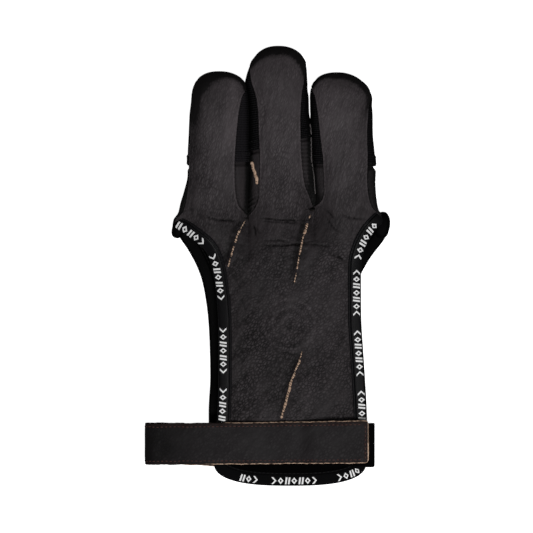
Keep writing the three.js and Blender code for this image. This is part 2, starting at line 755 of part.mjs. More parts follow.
// The stations round the open edge of some sheets, joined end to end from the fingers to the hem:
// down the left side, along the hem and up the right side.
function edgeStations(sheets, firstRow) {
  const sides = sheets.flatMap((sheet, k) => {
    const normals = sheet.normals();
    const rows = sheet.rows.slice(k === 0 ? firstRow : 1, k === sheets.length - 1 ? -1 : undefined);
    return rows.map((row) => ({ sheet, normals, row }));
  });
  const left = sides.map(({ sheet, normals, row }) => tapeStation(sheet, normals, [...row].reverse()));
  const right = sides.map(({ sheet, normals, row }) => tapeStation(sheet, normals, row)).reverse();
  const last = sheets[sheets.length - 1];
  const normals = last.normals();
  const upward = [...last.rows].reverse();
  const count = upward[0].length - 1;
  const hem = upward[0].map((_, k) => {
    const lean = k === 0 ? 1 : k === count ? -1 : 0;
    return tapeStation(last, normals, upward.map((row, r) => row[k + lean * r]));
  });
  return [...left, ...hem.reverse(), ...right];
}

// A tape folded round an open edge: a channel whose slot holds the edge of a sheet.
function binding(stations, wall) {
  const lift = CLEARANCE + TAPE;
  const over = [
    [1, lift],
    [0.5, lift],
    [0, lift],
  ];
  const under = over.map(([share, up]) => [share, -wall - up]).reverse();
  const slotUnder = [
    [1, -wall - CLEARANCE],
    [0.5, -wall - CLEARANCE],
    [0, -wall - CLEARANCE],
  ];
  const slotOver = slotUnder.map(([share]) => [share, CLEARANCE]).reverse();
  const depth = BINDING_WIDTH - lift;
  return solidOf(
    loft(
      stations.map(({ outward, read }) => {
        const place = (share, up, beyond) => {
          const { point, normal } = read(share * depth);
          point.addScaledVector(normal, up);
          return share === 0 ? point.addScaledVector(outward, beyond) : point;
        };
        return [
          ...[...over, ...under].map(([share, up]) => place(share, up, lift)),
          ...[...slotUnder, ...slotOver].map(([share, up]) => place(share, up, CLEARANCE)),
        ];
      }),
    ),
  );
}

// A flat band that follows a path in the XZ plane, with its width along Y.
// The path is its middle surface, and middleY says how far along Y it lies at a place on the path.
function band(path, width, thickness, middleY) {
  return solidOf(
    loft(
      path.map(([x, z], k) => {
        const before = path[Math.max(0, k - 1)];
        const after = path[Math.min(path.length - 1, k + 1)];
        const along = new THREE.Vector2(after[0] - before[0], after[1] - before[1]).normalize();
        const [nx, nz] = [(-along.y * thickness) / 2, (along.x * thickness) / 2];
        const y = middleY(x, z);
        return [
          new THREE.Vector3(x + nx, y - width / 2, z + nz),
          new THREE.Vector3(x - nx, y - width / 2, z - nz),
          new THREE.Vector3(x - nx, y + width / 2, z - nz),
          new THREE.Vector3(x + nx, y + width / 2, z + nz),
        ];
      }),
    ),
  );
}

// Where the strap's front run lies: just above the binding and the front panel.
const strapEndX = edgeRight("front", strapMiddle) + STRAP_OVERHANG;
const strapFoldX = strapEndX - STRAP_RUN;
const tabInnerX = strapEndX - TAB_OVERLAP;
function runHeight() {
  const [left, right] = [edgeLeft("front", strapMiddle), edgeRight("front", strapMiddle)];
  let highest = 0;
  for (let share = 0; share <= 1; share += 0.05) {
    const x = mix(left, right, share);
    const bound = Math.min(x - left, right - x) <= BINDING_WIDTH;
    highest = Math.max(highest, frontHeight(x, strapMiddle) + (bound ? bindingLift : 0));
  }
  return highest + CLEARANCE;
}
const strapRunZ = runHeight();
const alongRun = (x) => (x - strapFoldX) / STRAP_RUN;
const frontRunY = (x) => strapMiddle + STRAP_TILT * (alongRun(x) - 0.5);
const backRunY = (x) => frontRunY(x) - STRAP_SKEW * alongRun(x);
const strapY = (x, z) => mix(backRunY(x), frontRunY(x), smooth(z / FOLD_HEIGHT));
const tabY = (x, z) => strapY(x, z) - TAB_DROP * smooth(z / FOLD_HEIGHT);

function arc(cx, cz, radius, from, to, steps) {
  return Array.from({ length: steps + 1 }, (_, k) => {
    const angle = mix(from, to, k / steps);
    return [cx + radius * Math.cos(angle), cz + radius * Math.sin(angle)];
  });
}

// The strap: a back run on the surface below, the fold at the left, and a front run over the tab.
function strap() {
  const half = STRAP_THICKNESS / 2;
  const radius = FOLD_HEIGHT / 2 - half;
  const foldX = strapFoldX + radius + half;
  const wristX = edgeLeft("front", strapMiddle);
  const overTab = TAB_THICKNESS + CLEARANCE;
  const riseStart = tabInnerX - RISE_CLEARANCE - RISE_LENGTH;
  const risenX = wristX - RISE_CLEARANCE;
  const front = (x) => {
    const risen = mix(FOLD_HEIGHT - half, strapRunZ + half, smooth((x - foldX) / (risenX - foldX)));
    return risen + overTab * smooth((x - riseStart) / RISE_LENGTH);
  };
  const frontXs = Array.from({ length: 19 }, (_, k) => mix(foldX, strapEndX, (k + 1) / 19));
  const path = [
    [tabInnerX - CLEARANCE, half],
    ...arc(foldX, half + radius, radius, -Math.PI / 2, (-3 * Math.PI) / 2, 8),
    ...frontXs.map((x) => [x, front(x)]),
  ];
  return band(path, STRAP_WIDTH, STRAP_THICKNESS, strapY);
}

// The tab: from under the back panel, round the right edge, to a landing under the strap's end.
function closureTab() {
  const half = TAB_THICKNESS / 2;
  const radius = TAB_BEND - half;
  const outX = strapEndX + TAB_SHOWS - half;
  const topZ = strapRunZ + half;
  const bendX = outX - radius;
  const path = [
    [tabInnerX + CLEARANCE, half],
    ...arc(bendX, half + radius, radius, -Math.PI / 2, 0, 4),
    ...arc(bendX, topZ - radius, radius, 0, Math.PI / 2, 4),
    [tabInnerX, topZ],
  ];
  return band(path, STRAP_WIDTH, TAB_THICKNESS, tabY);
}

function material(colour, roughness) {
  return new THREE.MeshStandardMaterial({ color: new THREE.Color(colour), roughness, metalness: 0 });
}
const frontHide = material("#3a3637", 0.55);
const sideHide = material("#2c292a", 0.6);
const ribbedElastic = material("#151415", 0.85);
const blackFabric = material("#0b0b0c", 0.9);
const printedTape = material("#141415", 0.7);
const strapHide = material("#262324", 0.55);
const loopTape = material("#09090a", 0.95);

const glove = new THREE.Group();
function place(name, solid, look) {
  const mesh = new THREE.Mesh(geometryOf(solid), look);
  mesh.name = name;
  glove.add(mesh);
}

const front = frontSheet();
const wrist = wristSheet();
const back = backSheet();
place("front_leather", frontLeather(front), frontHide);
for (const finger of FINGERS) {
  place(`${finger.name}_elastic`, elasticInsert(finger), ribbedElastic);
  place(`${finger.name}_back_leather`, leatherChannel(finger), sideHide);
}
place("wrist_panel", solidOf(wrist.solid(FABRIC)), blackFabric);
place("back_panel", solidOf(back.solid(FABRIC)), blackFabric);
place("front_binding", binding(edgeStations([front, wrist], 1), LEATHER), printedTape);
place("back_binding", binding(edgeStations([back], 1), FABRIC), printedTape);
place("strap", strap(), strapHide);
place("closure_tab", closureTab(), loopTape);

// The origin is the middle of the glove's box, on the surface that it lies on.
const box = new THREE.Box3().setFromObject(glove);
const middle = box.getCenter(new THREE.Vector3());
glove.position.set(-middle.x, -middle.y, -box.min.z);

export default glove;
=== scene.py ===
import math

import bpy
import numpy as np
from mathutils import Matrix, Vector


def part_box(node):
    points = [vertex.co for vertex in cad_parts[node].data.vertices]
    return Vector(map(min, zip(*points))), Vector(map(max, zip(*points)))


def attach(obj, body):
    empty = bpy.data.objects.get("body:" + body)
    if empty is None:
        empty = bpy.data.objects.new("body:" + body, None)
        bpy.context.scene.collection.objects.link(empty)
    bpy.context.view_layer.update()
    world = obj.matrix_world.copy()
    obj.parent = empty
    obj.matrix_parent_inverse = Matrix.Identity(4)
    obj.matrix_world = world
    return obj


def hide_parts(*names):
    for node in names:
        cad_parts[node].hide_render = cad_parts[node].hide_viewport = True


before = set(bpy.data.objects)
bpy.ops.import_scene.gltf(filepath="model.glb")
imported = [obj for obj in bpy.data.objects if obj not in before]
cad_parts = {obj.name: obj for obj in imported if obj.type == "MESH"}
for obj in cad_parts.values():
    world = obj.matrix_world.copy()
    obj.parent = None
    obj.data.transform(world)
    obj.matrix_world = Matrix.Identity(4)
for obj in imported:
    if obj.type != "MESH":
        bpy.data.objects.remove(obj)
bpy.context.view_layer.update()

# Lengths are in millimetres up to the moment a mesh is made. X runs from the ring finger to the
# index finger, Y toward the fingertips and Z up out of the leather face, as in the frame.
MM = 0.001

# The photograph's frame and its scale.
PHOTO_PIXELS = 533
PHOTO_CENTRE = (266.5, 266)
MM_PER_PIXEL = 0.465
CAMERA_HEIGHT = 1500

# Finger stalls.
RING_LENGTH = 67.7
MIDDLE_LENGTH = 79.5
INDEX_LENGTH = 67.2
RING_WIDTH = 28.1
MIDDLE_WIDTH = 28.4
INDEX_WIDTH = 28.2
FINGER_HEIGHT = 16
FINGER_GAP = 0.5
RING_CORNER_DROP = 4
INDEX_CROTCH_RISE = 4.2
INDEX_CORNER_DROP = 2

# The hand below the fingers.
PALM_LENGTH = 124.5
PALM_HEIGHT = 13
WAIST_WIDTH = 67.2
WAIST_OFFSET = 4.9
HEM_BOW = 8.7
BACK_SHORTER = 3.5
KNUCKLE_FADE = 26
LEATHER_UNDER_STRAP = 3
RAMP_LENGTH = 22
RAMP_TO_STRAP = 6

# Walls and clearances.
LEATHER = 1.2
ELASTIC = 1.0
FABRIC = 1.0
CLEARANCE = 0.3
ELASTIC_LAP = 4
BINDING_WIDTH = 6
TAPE = 0.5

# The strap and its tab.
STRAP_WIDTH = 20
STRAP_THICKNESS = 1.6
STRAP_FROM_HEM = 19.6
STRAP_RUN = 104
STRAP_OVERHANG = 0.5
STRAP_TILT = 1.0
STRAP_SKEW = 2.2
FOLD_HEIGHT = 11.6
TAB_THICKNESS = 1.2
TAB_SHOWS = 3.0
TAB_DROP = 0.9
TAB_OVERLAP = 22
TAB_BEND = 4.5
RISE_LENGTH = 9
RISE_CLEARANCE = 2

# How fine the meshes are.
STALL_COLUMNS = 46
CAP_COLUMNS = 30
STALL_STEP = 0.64
PALM_STEP = 0.72
PALM_FINE_STEP = 0.38
PALM_FINE_DEPTH = 20
CAP_RINGS = 15
CLOTH_STEP = 0.5
TAPE_STEP = 1.0
BAND_STEP = 0.8
EDGE_STEP = 0.3
SHARP_DEGREES = 60


def table(columns, rows):
    """Rows of numbers under named columns."""
    names = columns.split()
    return {name: np.array([row[k] for row in rows], float) for k, name in enumerate(names)}


RING_SECTIONS = table("at centre half seam_left seam_right", [
    [0.0, -0.278, 1.249, 0.94, 1.0],
    [0.04, -0.263, 1.235, 0.93, 0.9],
    [0.09, -0.178, 1.157, 0.86, 0.74],
    [0.15, -0.139, 1.125, 0.84, 0.66],
    [0.22, -0.082, 1.075, 0.88, 0.6],
    [0.34, -0.007, 1.007, 0.95, 0.55],
    [0.46, 0.0, 1.0, 0.94, 0.57],
    [0.6, 0.018, 0.98, 0.95, 0.62],
    [0.72, 0.03, 0.965, 0.96, 0.68],
    [0.82, 0.04, 0.925, 0.98, 0.8],
    [0.9, 0.035, 0.92, 1.0, 1.0],
    [1.0, 0.0, 0.94, 1.0, 1.0],
])
MIDDLE_SECTIONS = table("at centre half seam_left seam_right", [
    [0.0, 0.007, 1.056, 1.0, 1.0],
    [0.04, 0.007, 1.056, 0.82, 0.96],
    [0.09, 0.015, 1.045, 0.71, 0.88],
    [0.15, 0.02, 1.035, 0.685, 0.77],
    [0.22, 0.02, 1.02, 0.68, 0.72],
    [0.34, 0.01, 1.003, 0.675, 0.685],
    [0.46, 0.0, 0.994, 0.695, 0.675],
    [0.6, -0.04, 0.961, 0.715, 0.74],
    [0.72, -0.07, 0.955, 0.76, 0.83],
    [0.82, -0.11, 0.966, 0.84, 0.93],
    [0.9, -0.075, 0.955, 1.0, 1.0],
    [1.0, -0.09, 0.96, 1.0, 1.0],
])
INDEX_SECTIONS = table("at centre half seam_left seam_right", [
    [0.0, 0.262, 1.199, 1.0, 0.94],
    [0.04, 0.213, 1.149, 0.85, 0.92],
    [0.09, 0.135, 1.057, 0.73, 0.81],
    [0.15, 0.113, 1.035, 0.695, 0.75],
    [0.22, 0.089, 1.018, 0.685, 0.73],
    [0.34, 0.057, 1.014, 0.69, 0.72],
    [0.46, 0.039, 1.018, 0.72, 0.755],
    [0.6, -0.004, 1.004, 0.76, 0.8],
    [0.72, -0.014, 1.007, 0.8, 0.83],
    [0.82, -0.035, 0.986, 0.88, 0.92],
    [0.9, -0.092, 0.993, 1.0, 1.0],
    [1.0, -0.177, 0.979, 1.0, 1.0],
])
# How much further out the photograph's outline lies than these sections, in millimetres.
TRIMS = {
    "ring": table("at left right", [
        [0.0, 0, 0], [0.3, 0, 0], [0.42, 0.4, 0], [0.6, 0.5, 0], [0.72, 0.5, 0.1], [0.84, 0.45, 0.3],
        [0.9, 0.45, 0.9], [0.95, 0.6, 1.5], [1.0, 0.4, 1.2],
    ]),
    "middle": table("at left right", [
        [0.0, 0, 0], [0.62, 0, 0], [0.71, 0.3, 0], [0.78, 1.0, 0.7], [0.85, 0.6, 0.65],
        [0.9, 0.5, 0.8], [0.95, 0.1, 1.1], [1.0, 0, 0.8],
    ]),
    "index": table("at left right", [
        [0.0, 0, 0], [0.25, 0, 0.2], [0.37, 0, 0.8], [0.5, 0, 0.5], [0.77, 0, 0.5], [0.84, 0, 1.1],
        [0.89, 0.3, 0.9], [0.95, 0, 0.7], [1.0, 0, 0.4],
    ]),
}
TIP_REACH = 0.45
STALL_HEIGHTS = table("at top", [
    [0.0, 0.8],
    [0.09, 0.82],
    [0.22, 0.86],
    [0.34, 0.9],
    [0.46, 0.94],
    [0.6, 0.98],
    [0.72, 1.0],
    [0.9, 0.99],
    [1.0, 0.96],
])
PALM_EDGES = table("at front_left front_right back_left back_right", [
    [0.0, 1.02, 1.1, 1.0, 0.9],
    [0.016, 1.01, 1.0, 1.0, 1.0],
    [0.03, 1.0, 0.74, 1.0, 1.11],
    [0.055, 0.79, 0.48, 0.91, 1.07],
    [0.08, 0.58, 0.29, 0.825, 0.94],
    [0.105, 0.39, 0.15, 0.72, 0.73],
    [0.13, 0.27, 0.04, 0.63, 0.5],
    [0.175, 0.16, -0.06, 0.49, 0.16],
    [0.235, 0.092, -0.073, 0.36, -0.17],
    [0.31, 0.037, -0.073, 0.275, -0.34],
    [0.385, 0.009, -0.06, 0.223, -0.42],
    [0.475, 0.0, 0.0, 0.195, -0.42],
    [0.6, 0.0, 0.092, 0.181, -0.37],
    [0.72, 0.02, 0.165, 0.215, -0.294],
    [0.83, 0.06, 0.183, 0.21, -0.165],
    [0.93, 0.1, 0.138, 0.15, -0.1],
])
PALM_HEIGHTS = table("at edge crown", [
    [0.0, 0.45, 0.98],
    [0.05, 0.47, 0.98],
    [0.12, 0.54, 0.97],
    [0.2, 0.61, 0.95],
    [0.35, 0.69, 0.92],
    [0.5, 0.74, 0.91],
    [0.65, 0.8, 0.92],
    [0.74, 0.84, 0.94],
    [1.0, 0.84, 0.94],
])

# The tucks: across is a share of the half waist from its middle, down a share of the palm length.
TUCKS = [
    [(-0.63, 0.012), (-0.685, 0.038), (-0.736, 0.067), (-0.805, 0.128), (-0.865, 0.183)],
    [(0.28, -0.01), (0.242, 0.013), (0.177, 0.071), (0.126, 0.132), (0.05, 0.244)],
    [(0.155, 0.5), (0.11, 0.54), (0.01, 0.61), (-0.05, 0.67), (-0.135, 0.755)],
]

# Shares that shape every stall.
TIP_FROM = 0.8
TIP_ROUND = 2.3
CAP_FROM = 0.9
WIDEST = 0.45
SQUARE_TOP = 2.4
SQUARE_BASE = 1.5
SQUARE_UNDER = 3.2
BASE_BLEND = 0.12
SQUARE_BLEND = 0.25
CROWN_AT_BASE = 6
CROWN_AT_PALM = 2.4


def mix(a, b, share):
    return a + (b - a) * share


def smooth(value):
    held = np.clip(value, 0, 1)
    return held * held * (3 - 2 * held)


def power(value, exponent):
    return np.sign(value) * np.abs(value) ** exponent


def read(rows, column, at):
    """One column of a table between its rows, along a smooth curve that never overshoots."""
    x, y = rows["at"], rows[column]
    at = np.clip(np.asarray(at, float), x[0], x[-1])
    k = np.clip(np.searchsorted(x, at, side="right") - 1, 0, len(x) - 2)
    slope = np.diff(y) / np.diff(x)
    before, after = slope[:-1], slope[1:]
    same = before * after > 0
    tangent = np.zeros(len(x))
    tangent[1:-1] = np.where(same, 2 * before * after / np.where(same, before + after, 1), 0)
    step = x[k + 1] - x[k]
    s = (at - x[k]) / step
    return (
        y[k] * (1 + 2 * s) * (1 - s) ** 2
        + tangent[k] * step * s * (1 - s) ** 2
        + y[k + 1] * s * s * (3 - 2 * s)
        + tangent[k + 1] * step * s * s * (s - 1)
    )


def unit(vectors):
    length = np.linalg.norm(vectors, axis=-1, keepdims=True)
    return vectors / np.maximum(length, 1e-9)


def hill(place, centre, width):
    """A smooth rise to 1 at a centre, which falls away over a width."""
    return np.exp(-((place - centre) / width) ** 2)


def wave(place, step):
    return np.sin(place * 2 * math.pi / step)


def path_lengths(path):
    """How far along a path each of its points lies."""
    return np.concatenate([[0], np.cumsum(np.linalg.norm(np.diff(path, axis=0), axis=1))])


def values_at(at, lengths, rows):
    """The rows that belong to some lengths, read at places between them."""
    return np.stack([np.interp(at, lengths, column) for column in rows.T], axis=-1)


def tube_faces(stations, size):
    """The quads of a tube of rings. Two more points, which follow the rings, close its ends."""
    number = np.arange(stations * size).reshape(stations, size)
    after = np.roll(number, -1, axis=1)
    sides = np.stack([number[:-1], after[:-1], after[1:], number[1:]], axis=-1).reshape(-1, 4)
    low, high = number.size, number.size + 1
    start = np.stack([np.full(size, low), after[0], number[0], number[0]], axis=1)
    end = np.stack([np.full(size, high), number[-1], after[-1], after[-1]], axis=1)
    return np.vstack([sides, start, end])


class Finger:
    """One stall: its axis, size, sections and the heights of the crotches at its sides."""

    def __init__(self, name, axis, width, length, sections, base_left, base_right, elastic_from):
        self.name = name
        self.axis = axis
        self.half_width = width / 2
        self.length = length
        self.sections = sections
        self.trims = TRIMS[name]
        self.base_left = base_left
        self.base_right = base_right
        self.elastic_from = elastic_from

    def across(self, at):
        left, right = read(self.trims, "left", at), read(self.trims, "right", at)
        centre = self.axis + self.half_width * read(self.sections, "centre", at) + (right - left) / 2
        return centre, self.half_width * read(self.sections, "half", at) + (right + left) / 2

    def point(self, at, angle):
        """A point on the skin. Angle 0 is the right side and a quarter turn is the top."""
        at, angle = np.broadcast_arrays(np.asarray(at, float), np.asarray(angle, float))
        centre, half = self.across(at)
        round_off = tip_round(at)
        top = stall_top(at)
        widest = WIDEST * top
        upper = np.sin(angle) >= 0
        square = np.where(upper, squareness(at), SQUARE_UNDER)
        share = power(np.cos(angle), 2 / square)
        rise = np.abs(np.sin(angle)) ** (2 / square)
        reach = np.where(upper, top - widest, -widest) * round_off
        base = mix(self.base_left, self.base_right, (share + 1) / 2)
        y = mix(base, self.length, at) + TIP_REACH * smooth((at - 0.75) / 0.25)
        return np.stack([centre + half * round_off * share, y, widest + reach * rise], axis=-1)

    def normal(self, at, angle):
        step = 0.01
        along = self.point(at + step, angle) - self.point(at - step, angle)
        round_skin = self.point(at, angle + step) - self.point(at, angle - step)
        return unit(np.cross(along, round_skin))

    def right_seam(self, at):
        return seam_angle(at, read(self.sections, "seam_right", at))

    def left_seam(self, at):
        return math.pi - seam_angle(at, read(self.sections, "seam_left", at))


def tip_round(at):
    share = np.clip((at - TIP_FROM) / (1 - TIP_FROM), 0, 1)
    return (1 - share ** TIP_ROUND) ** (1 / TIP_ROUND)


def stall_top(at):
    return FINGER_HEIGHT * read(STALL_HEIGHTS, "top", at)


def squareness(at):
    return mix(SQUARE_BASE, SQUARE_TOP, smooth(at / SQUARE_BLEND))


def seam_angle(at, share):
    return np.arccos(np.clip(share, 0, 1) ** (squareness(at) / 2))


MIDDLE_TO_RING = (RING_WIDTH + MIDDLE_WIDTH) / 2 + FINGER_GAP
MIDDLE_TO_INDEX = (INDEX_WIDTH + MIDDLE_WIDTH) / 2 + FINGER_GAP
INDEX = Finger("index", MIDDLE_TO_INDEX, INDEX_WIDTH, INDEX_LENGTH, INDEX_SECTIONS,
               INDEX_CROTCH_RISE, -INDEX_CORNER_DROP, 0.36)
MIDDLE = Finger("middle", 0, MIDDLE_WIDTH, MIDDLE_LENGTH, MIDDLE_SECTIONS,
                0, INDEX_CROTCH_RISE, 0.45)
RING = Finger("ring", -MIDDLE_TO_RING, RING_WIDTH, RING_LENGTH, RING_SECTIONS,
              -RING_CORNER_DROP, 0, 0.36)
FINGERS = [INDEX, MIDDLE, RING]

# The waist, the corners and the crotches.
waist_left = WAIST_OFFSET - WAIST_WIDTH / 2
waist_right = WAIST_OFFSET + WAIST_WIDTH / 2
ring_centre, ring_half = RING.across(0)
index_centre, index_half = INDEX.across(0)
middle_centre, middle_half = MIDDLE.across(0)
corner_left = ring_centre - ring_half
corner_right = index_centre + index_half
crotch_index = (index_centre - index_half + middle_centre + middle_half) / 2
crotch_ring = (middle_centre - middle_half + ring_centre + ring_half) / 2
side_end = PALM_LENGTH - HEM_BOW
back_end = side_end - BACK_SHORTER
binding_lift = TAPE + CLEARANCE
strap_lift = STRAP_THICKNESS + CLEARANCE + binding_lift
strap_middle = -(PALM_LENGTH - STRAP_FROM_HEM)
strap_top = strap_middle + STRAP_WIDTH / 2
leather_end = strap_top - LEATHER_UNDER_STRAP
ramp_top = strap_top + RAMP_TO_STRAP + RAMP_LENGTH


def depth_share(y):
    return np.clip(-np.maximum(y, -side_end) / PALM_LENGTH, 0, 1)


def edge_left(side, y):
    return mix(waist_left, corner_left, read(PALM_EDGES, side + "_left", depth_share(y)))


def edge_right(side, y):
    return mix(waist_right, corner_right, read(PALM_EDGES, side + "_right", depth_share(y)))


def base_line(x):
    stops = [corner_left, crotch_ring, crotch_index, corner_right]
    return np.interp(x, stops, [-RING_CORNER_DROP, 0, INDEX_CROTCH_RISE, -INDEX_CORNER_DROP])


def domes(x):
    """The height of the three domes that the stalls make where they leave the palm."""
    top = stall_top(0)
    widest = WIDEST * top
    rises = []
    for finger in FINGERS:
        centre, half = finger.across(0)
        out = np.clip(np.abs(x - centre) / half, 0, 1)
        rises.append((1 - out ** SQUARE_BASE) ** (1 / SQUARE_BASE))
    return widest + (top - widest) * np.maximum.reduce(rises)


def front_height(x, y):
    """The height of the front panel's outer face."""
    at = np.clip(-y / PALM_LENGTH, 0, 1)
    edge = PALM_HEIGHT * read(PALM_HEIGHTS, "edge", at)
    crown = PALM_HEIGHT * read(PALM_HEIGHTS, "crown", at)
    left, right = edge_left("front", y), edge_right("front", y)
    out = np.clip(np.abs(x - (left + right) / 2) / ((right - left) / 2), 0, 1)
    fade = smooth((base_line(x) - y) / KNUCKLE_FADE)
    shape = mix(domes(x), crown, fade)
    return edge + (shape - edge) * (1 - out ** mix(CROWN_AT_BASE, CROWN_AT_PALM, fade))


def back_height(y):
    return mix(binding_lift, strap_lift, smooth((ramp_top - y) / RAMP_LENGTH))


def hem_bow(out):
    return HEM_BOW * np.sqrt(1 - np.clip(np.abs(out), 0, 1) ** 2.8)


def sheet_edge(side, hand, y):
    """Where a panel's own edge lies, inside the fold of the tape."""
    edge = edge_left if hand == "left" else edge_right
    step = 0.5
    slope = (edge(side, y - step) - edge(side, y + step)) / (2 * step)
    inset = binding_lift * np.hypot(1, slope)
    return edge(side, y) + (inset if hand == "left" else -inset)


# The model's own values put the crotch at the origin. The frame's origin is the middle of the box.
strap_end_x = edge_right("front", strap_middle) + STRAP_OVERHANG
strap_fold_x = strap_end_x - STRAP_RUN
SHIFT = np.array([
    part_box("strap")[0][0] / MM - strap_fold_x,
    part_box("front_leather")[1][1] / MM - MIDDLE_LENGTH,
    0.0,
])


def photo_mm(px, py):
    """A place in the photograph, in the model's own millimetres."""
    right, up = px - PHOTO_CENTRE[0], PHOTO_CENTRE[1] - py
    return np.array([right * MM_PER_PIXEL, up * MM_PER_PIXEL]) - SHIFT[:2]


# Noise that repeats exactly: a sum of a few sine waves in fixed directions.
def ripples(x, y, size, seed, layers=7):
    rng = np.random.default_rng(seed)
    total = np.zeros(np.broadcast(x, y).shape)
    for _ in range(layers):
        turn = rng.uniform(0, 2 * math.pi)
        wave = size * rng.uniform(0.6, 1.7)
        phase = rng.uniform(0, 2 * math.pi)
        total += np.sin((x * math.cos(turn) + y * math.sin(turn)) * 2 * math.pi / wave + phase)
    return total / layers


def along_path(points, x, y):
    """The distance from a path, the side of it and how far along it, as a share, for each place."""
    points = np.asarray(points, float)
    best = np.full(x.shape, 1e9)
    side = np.zeros(x.shape)
    along = np.zeros(x.shape)
    lengths = np.linalg.norm(np.diff(points, axis=0), axis=1)
    total = lengths.sum()
    start = 0.0
    for a, b, length in zip(points[:-1], points[1:], lengths):
        way = (b - a) / length
        s = np.clip((x - a[0]) * way[0] + (y - a[1]) * way[1], 0, length)
        dx, dy = x - a[0] - s * way[0], y - a[1] - s * way[1]
        distance = np.hypot(dx, dy)
        nearer = distance < best
        best = np.where(nearer, distance, best)
        side = np.where(nearer, np.sign(way[0] * dy - way[1] * dx), side)
        along = np.where(nearer, (start + s) / total, along)
        start += length
    return best, side, along


def spline(points, count):
    """A smooth path through some points, with equal steps in the points' own spacing."""
    points = np.asarray(points, float)
    padded = np.vstack([2 * points[0] - points[1], points, 2 * points[-1] - points[-2]])
    at = np.linspace(0, len(points) - 1, count)
    k = np.minimum(at.astype(int), len(points) - 2)
    t = (at - k)[:, None]
    p0, p1, p2, p3 = (padded[k + i] for i in range(4))
    return 0.5 * (
        2 * p1 + (p2 - p0) * t + (2 * p0 - 5 * p1 + 4 * p2 - p3) * t * t
        + (3 * p1 - p0 - 3 * p2 + p3) * t ** 3
    )


def tuck_path(tuck, count=60):
    corners = [(WAIST_OFFSET + a * WAIST_WIDTH / 2, -d * PALM_LENGTH) for a, d in tuck]
    return spline(corners, count)


# Meshes are gathered as numpy grids before Blender sees them.
class Sheet:
    """Points and quads of an open surface."""

    def __init__(self):
        self.points = []
        self.count = 0
        self.quads = []

    def add(self, points):
        points = np.asarray(points, float).reshape(-1, 3)
        numbers = np.arange(self.count, self.count + len(points))
        self.points.append(points)
        self.count += len(points)
        return numbers

    def strip(self, lower, upper):
        self.quads.append(np.stack([lower[:-1], upper[:-1], upper[1:], lower[1:]], axis=1))

    def join(self, rows, downward=False):
        """Joins rows of points that follow each other upward or downward."""
        for row, after in zip(rows[:-1], rows[1:]):
            self.strip(*((after, row) if downward else (row, after)))

    def arrays(self):
        return np.vstack(self.points), np.vstack(self.quads)


def normals_of(points, quads):
    a, b, c, d = (points[quads[:, k]] for k in range(4))
    face = np.cross(c - a, d - b)
    total = np.zeros_like(points)
    for k in range(4):
        np.add.at(total, quads[:, k], face)
    return unit(total)


def open_edges(quads, count):
    starts = quads.ravel()
    ends = np.roll(quads, -1, axis=1).ravel()
    keep = starts != ends
    starts, ends = starts[keep], ends[keep]
    forward = starts * count + ends
    single = ~np.isin(forward, ends * count + starts)
    return starts[single], ends[single]


def walled(sheet, wall, relief):
    """A closed mesh from a sheet, with relief on its outer face: points, faces, each face's kind
    (0 outer, 1 inner, 2 rim) and the sheet point that each point comes from."""
    points, quads = sheet.arrays()
    normals = normals_of(points, quads)
    outer = points + normals * relief[:, None]
    inner = points - normals * wall
    count = len(points)
    a, b = open_edges(quads, count)
    halfway = (outer + inner) / 2
    flipped = quads[:, ::-1] + count
    rim = np.unique(np.concatenate([a, b]))
    number = np.full(count, -1)
    number[rim] = 2 * count + np.arange(len(rim))
    outward = rim_outward(points, a, b, normals, rim, number - 2 * count)
    middle = halfway[rim] + outward * wall * 0.16
    upper = np.stack([b, a, number[a], number[b]], axis=1)
    lower = np.stack([number[b], number[a], a + count, b + count], axis=1)
    everything = np.vstack([outer, inner, middle])
    faces = np.vstack([quads, flipped, upper, lower])
    kinds = np.repeat([0, 1, 2], [len(quads), len(flipped), len(upper) + len(lower)])
    source = np.concatenate([np.arange(count), np.arange(count), rim])
    return everything, faces, kinds, source


def rim_outward(points, a, b, normals, rim, place):
    """The direction out of a sheet at each point of its open edge."""
    out = np.zeros((len(rim), 3))
    side = np.cross(points[b] - points[a], normals[a] + normals[b])
    np.add.at(out, place[a], side)
    np.add.at(out, place[b], side)
    return unit(out)


def add_to_scene(name, data):
    made = bpy.data.objects.new(name, data)
    bpy.context.scene.collection.objects.link(made)
    return made


def make_object(name, points, faces, kinds, materials, node=None, attributes=None):
    """A Blender object from arrays in millimetres. kinds picks each face's material."""
    points = np.asarray(points) + SHIFT
    points[:, 2] = np.maximum(points[:, 2], 0)
    mesh = bpy.data.meshes.new(name)
    lists = [list(dict.fromkeys(face)) for face in np.asarray(faces).tolist()]
    keep = [k for k, face in enumerate(lists) if len(face) > 2]
    mesh.from_pydata((points * MM).tolist(), [], [lists[k] for k in keep])
    for material in materials:
        mesh.materials.append(material)
    mesh.polygons.foreach_set("material_index", np.asarray(kinds)[keep].astype(np.int32))
    mesh.polygons.foreach_set("use_smooth", np.ones(len(keep), bool))
    for label, values in (attributes or {}).items():
        layer = mesh.attributes.new(label, "FLOAT_VECTOR", "POINT")
        layer.data.foreach_set("vector", np.asarray(values, np.float32).ravel())
    mesh.set_sharp_from_angle(angle=math.radians(SHARP_DEGREES))
    mesh.update()
    made = add_to_scene(name, mesh)
    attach(made, "root")
    if node:
        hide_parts(node)


# Materials.
LEATHER_SHINE = 0.2
SUEDE_SHINE = 0.1
KNIT_SHINE = 0.03
STAINED = (0.01, 0.008, 0.007, 1)


def linear(value):
    value = value / 255
    return value / 12.92 if value <= 0.04045 else ((value + 0.055) / 1.055) ** 2.4


def colour(red, green, blue):
    return (linear(red), linear(green), linear(blue), 1.0)


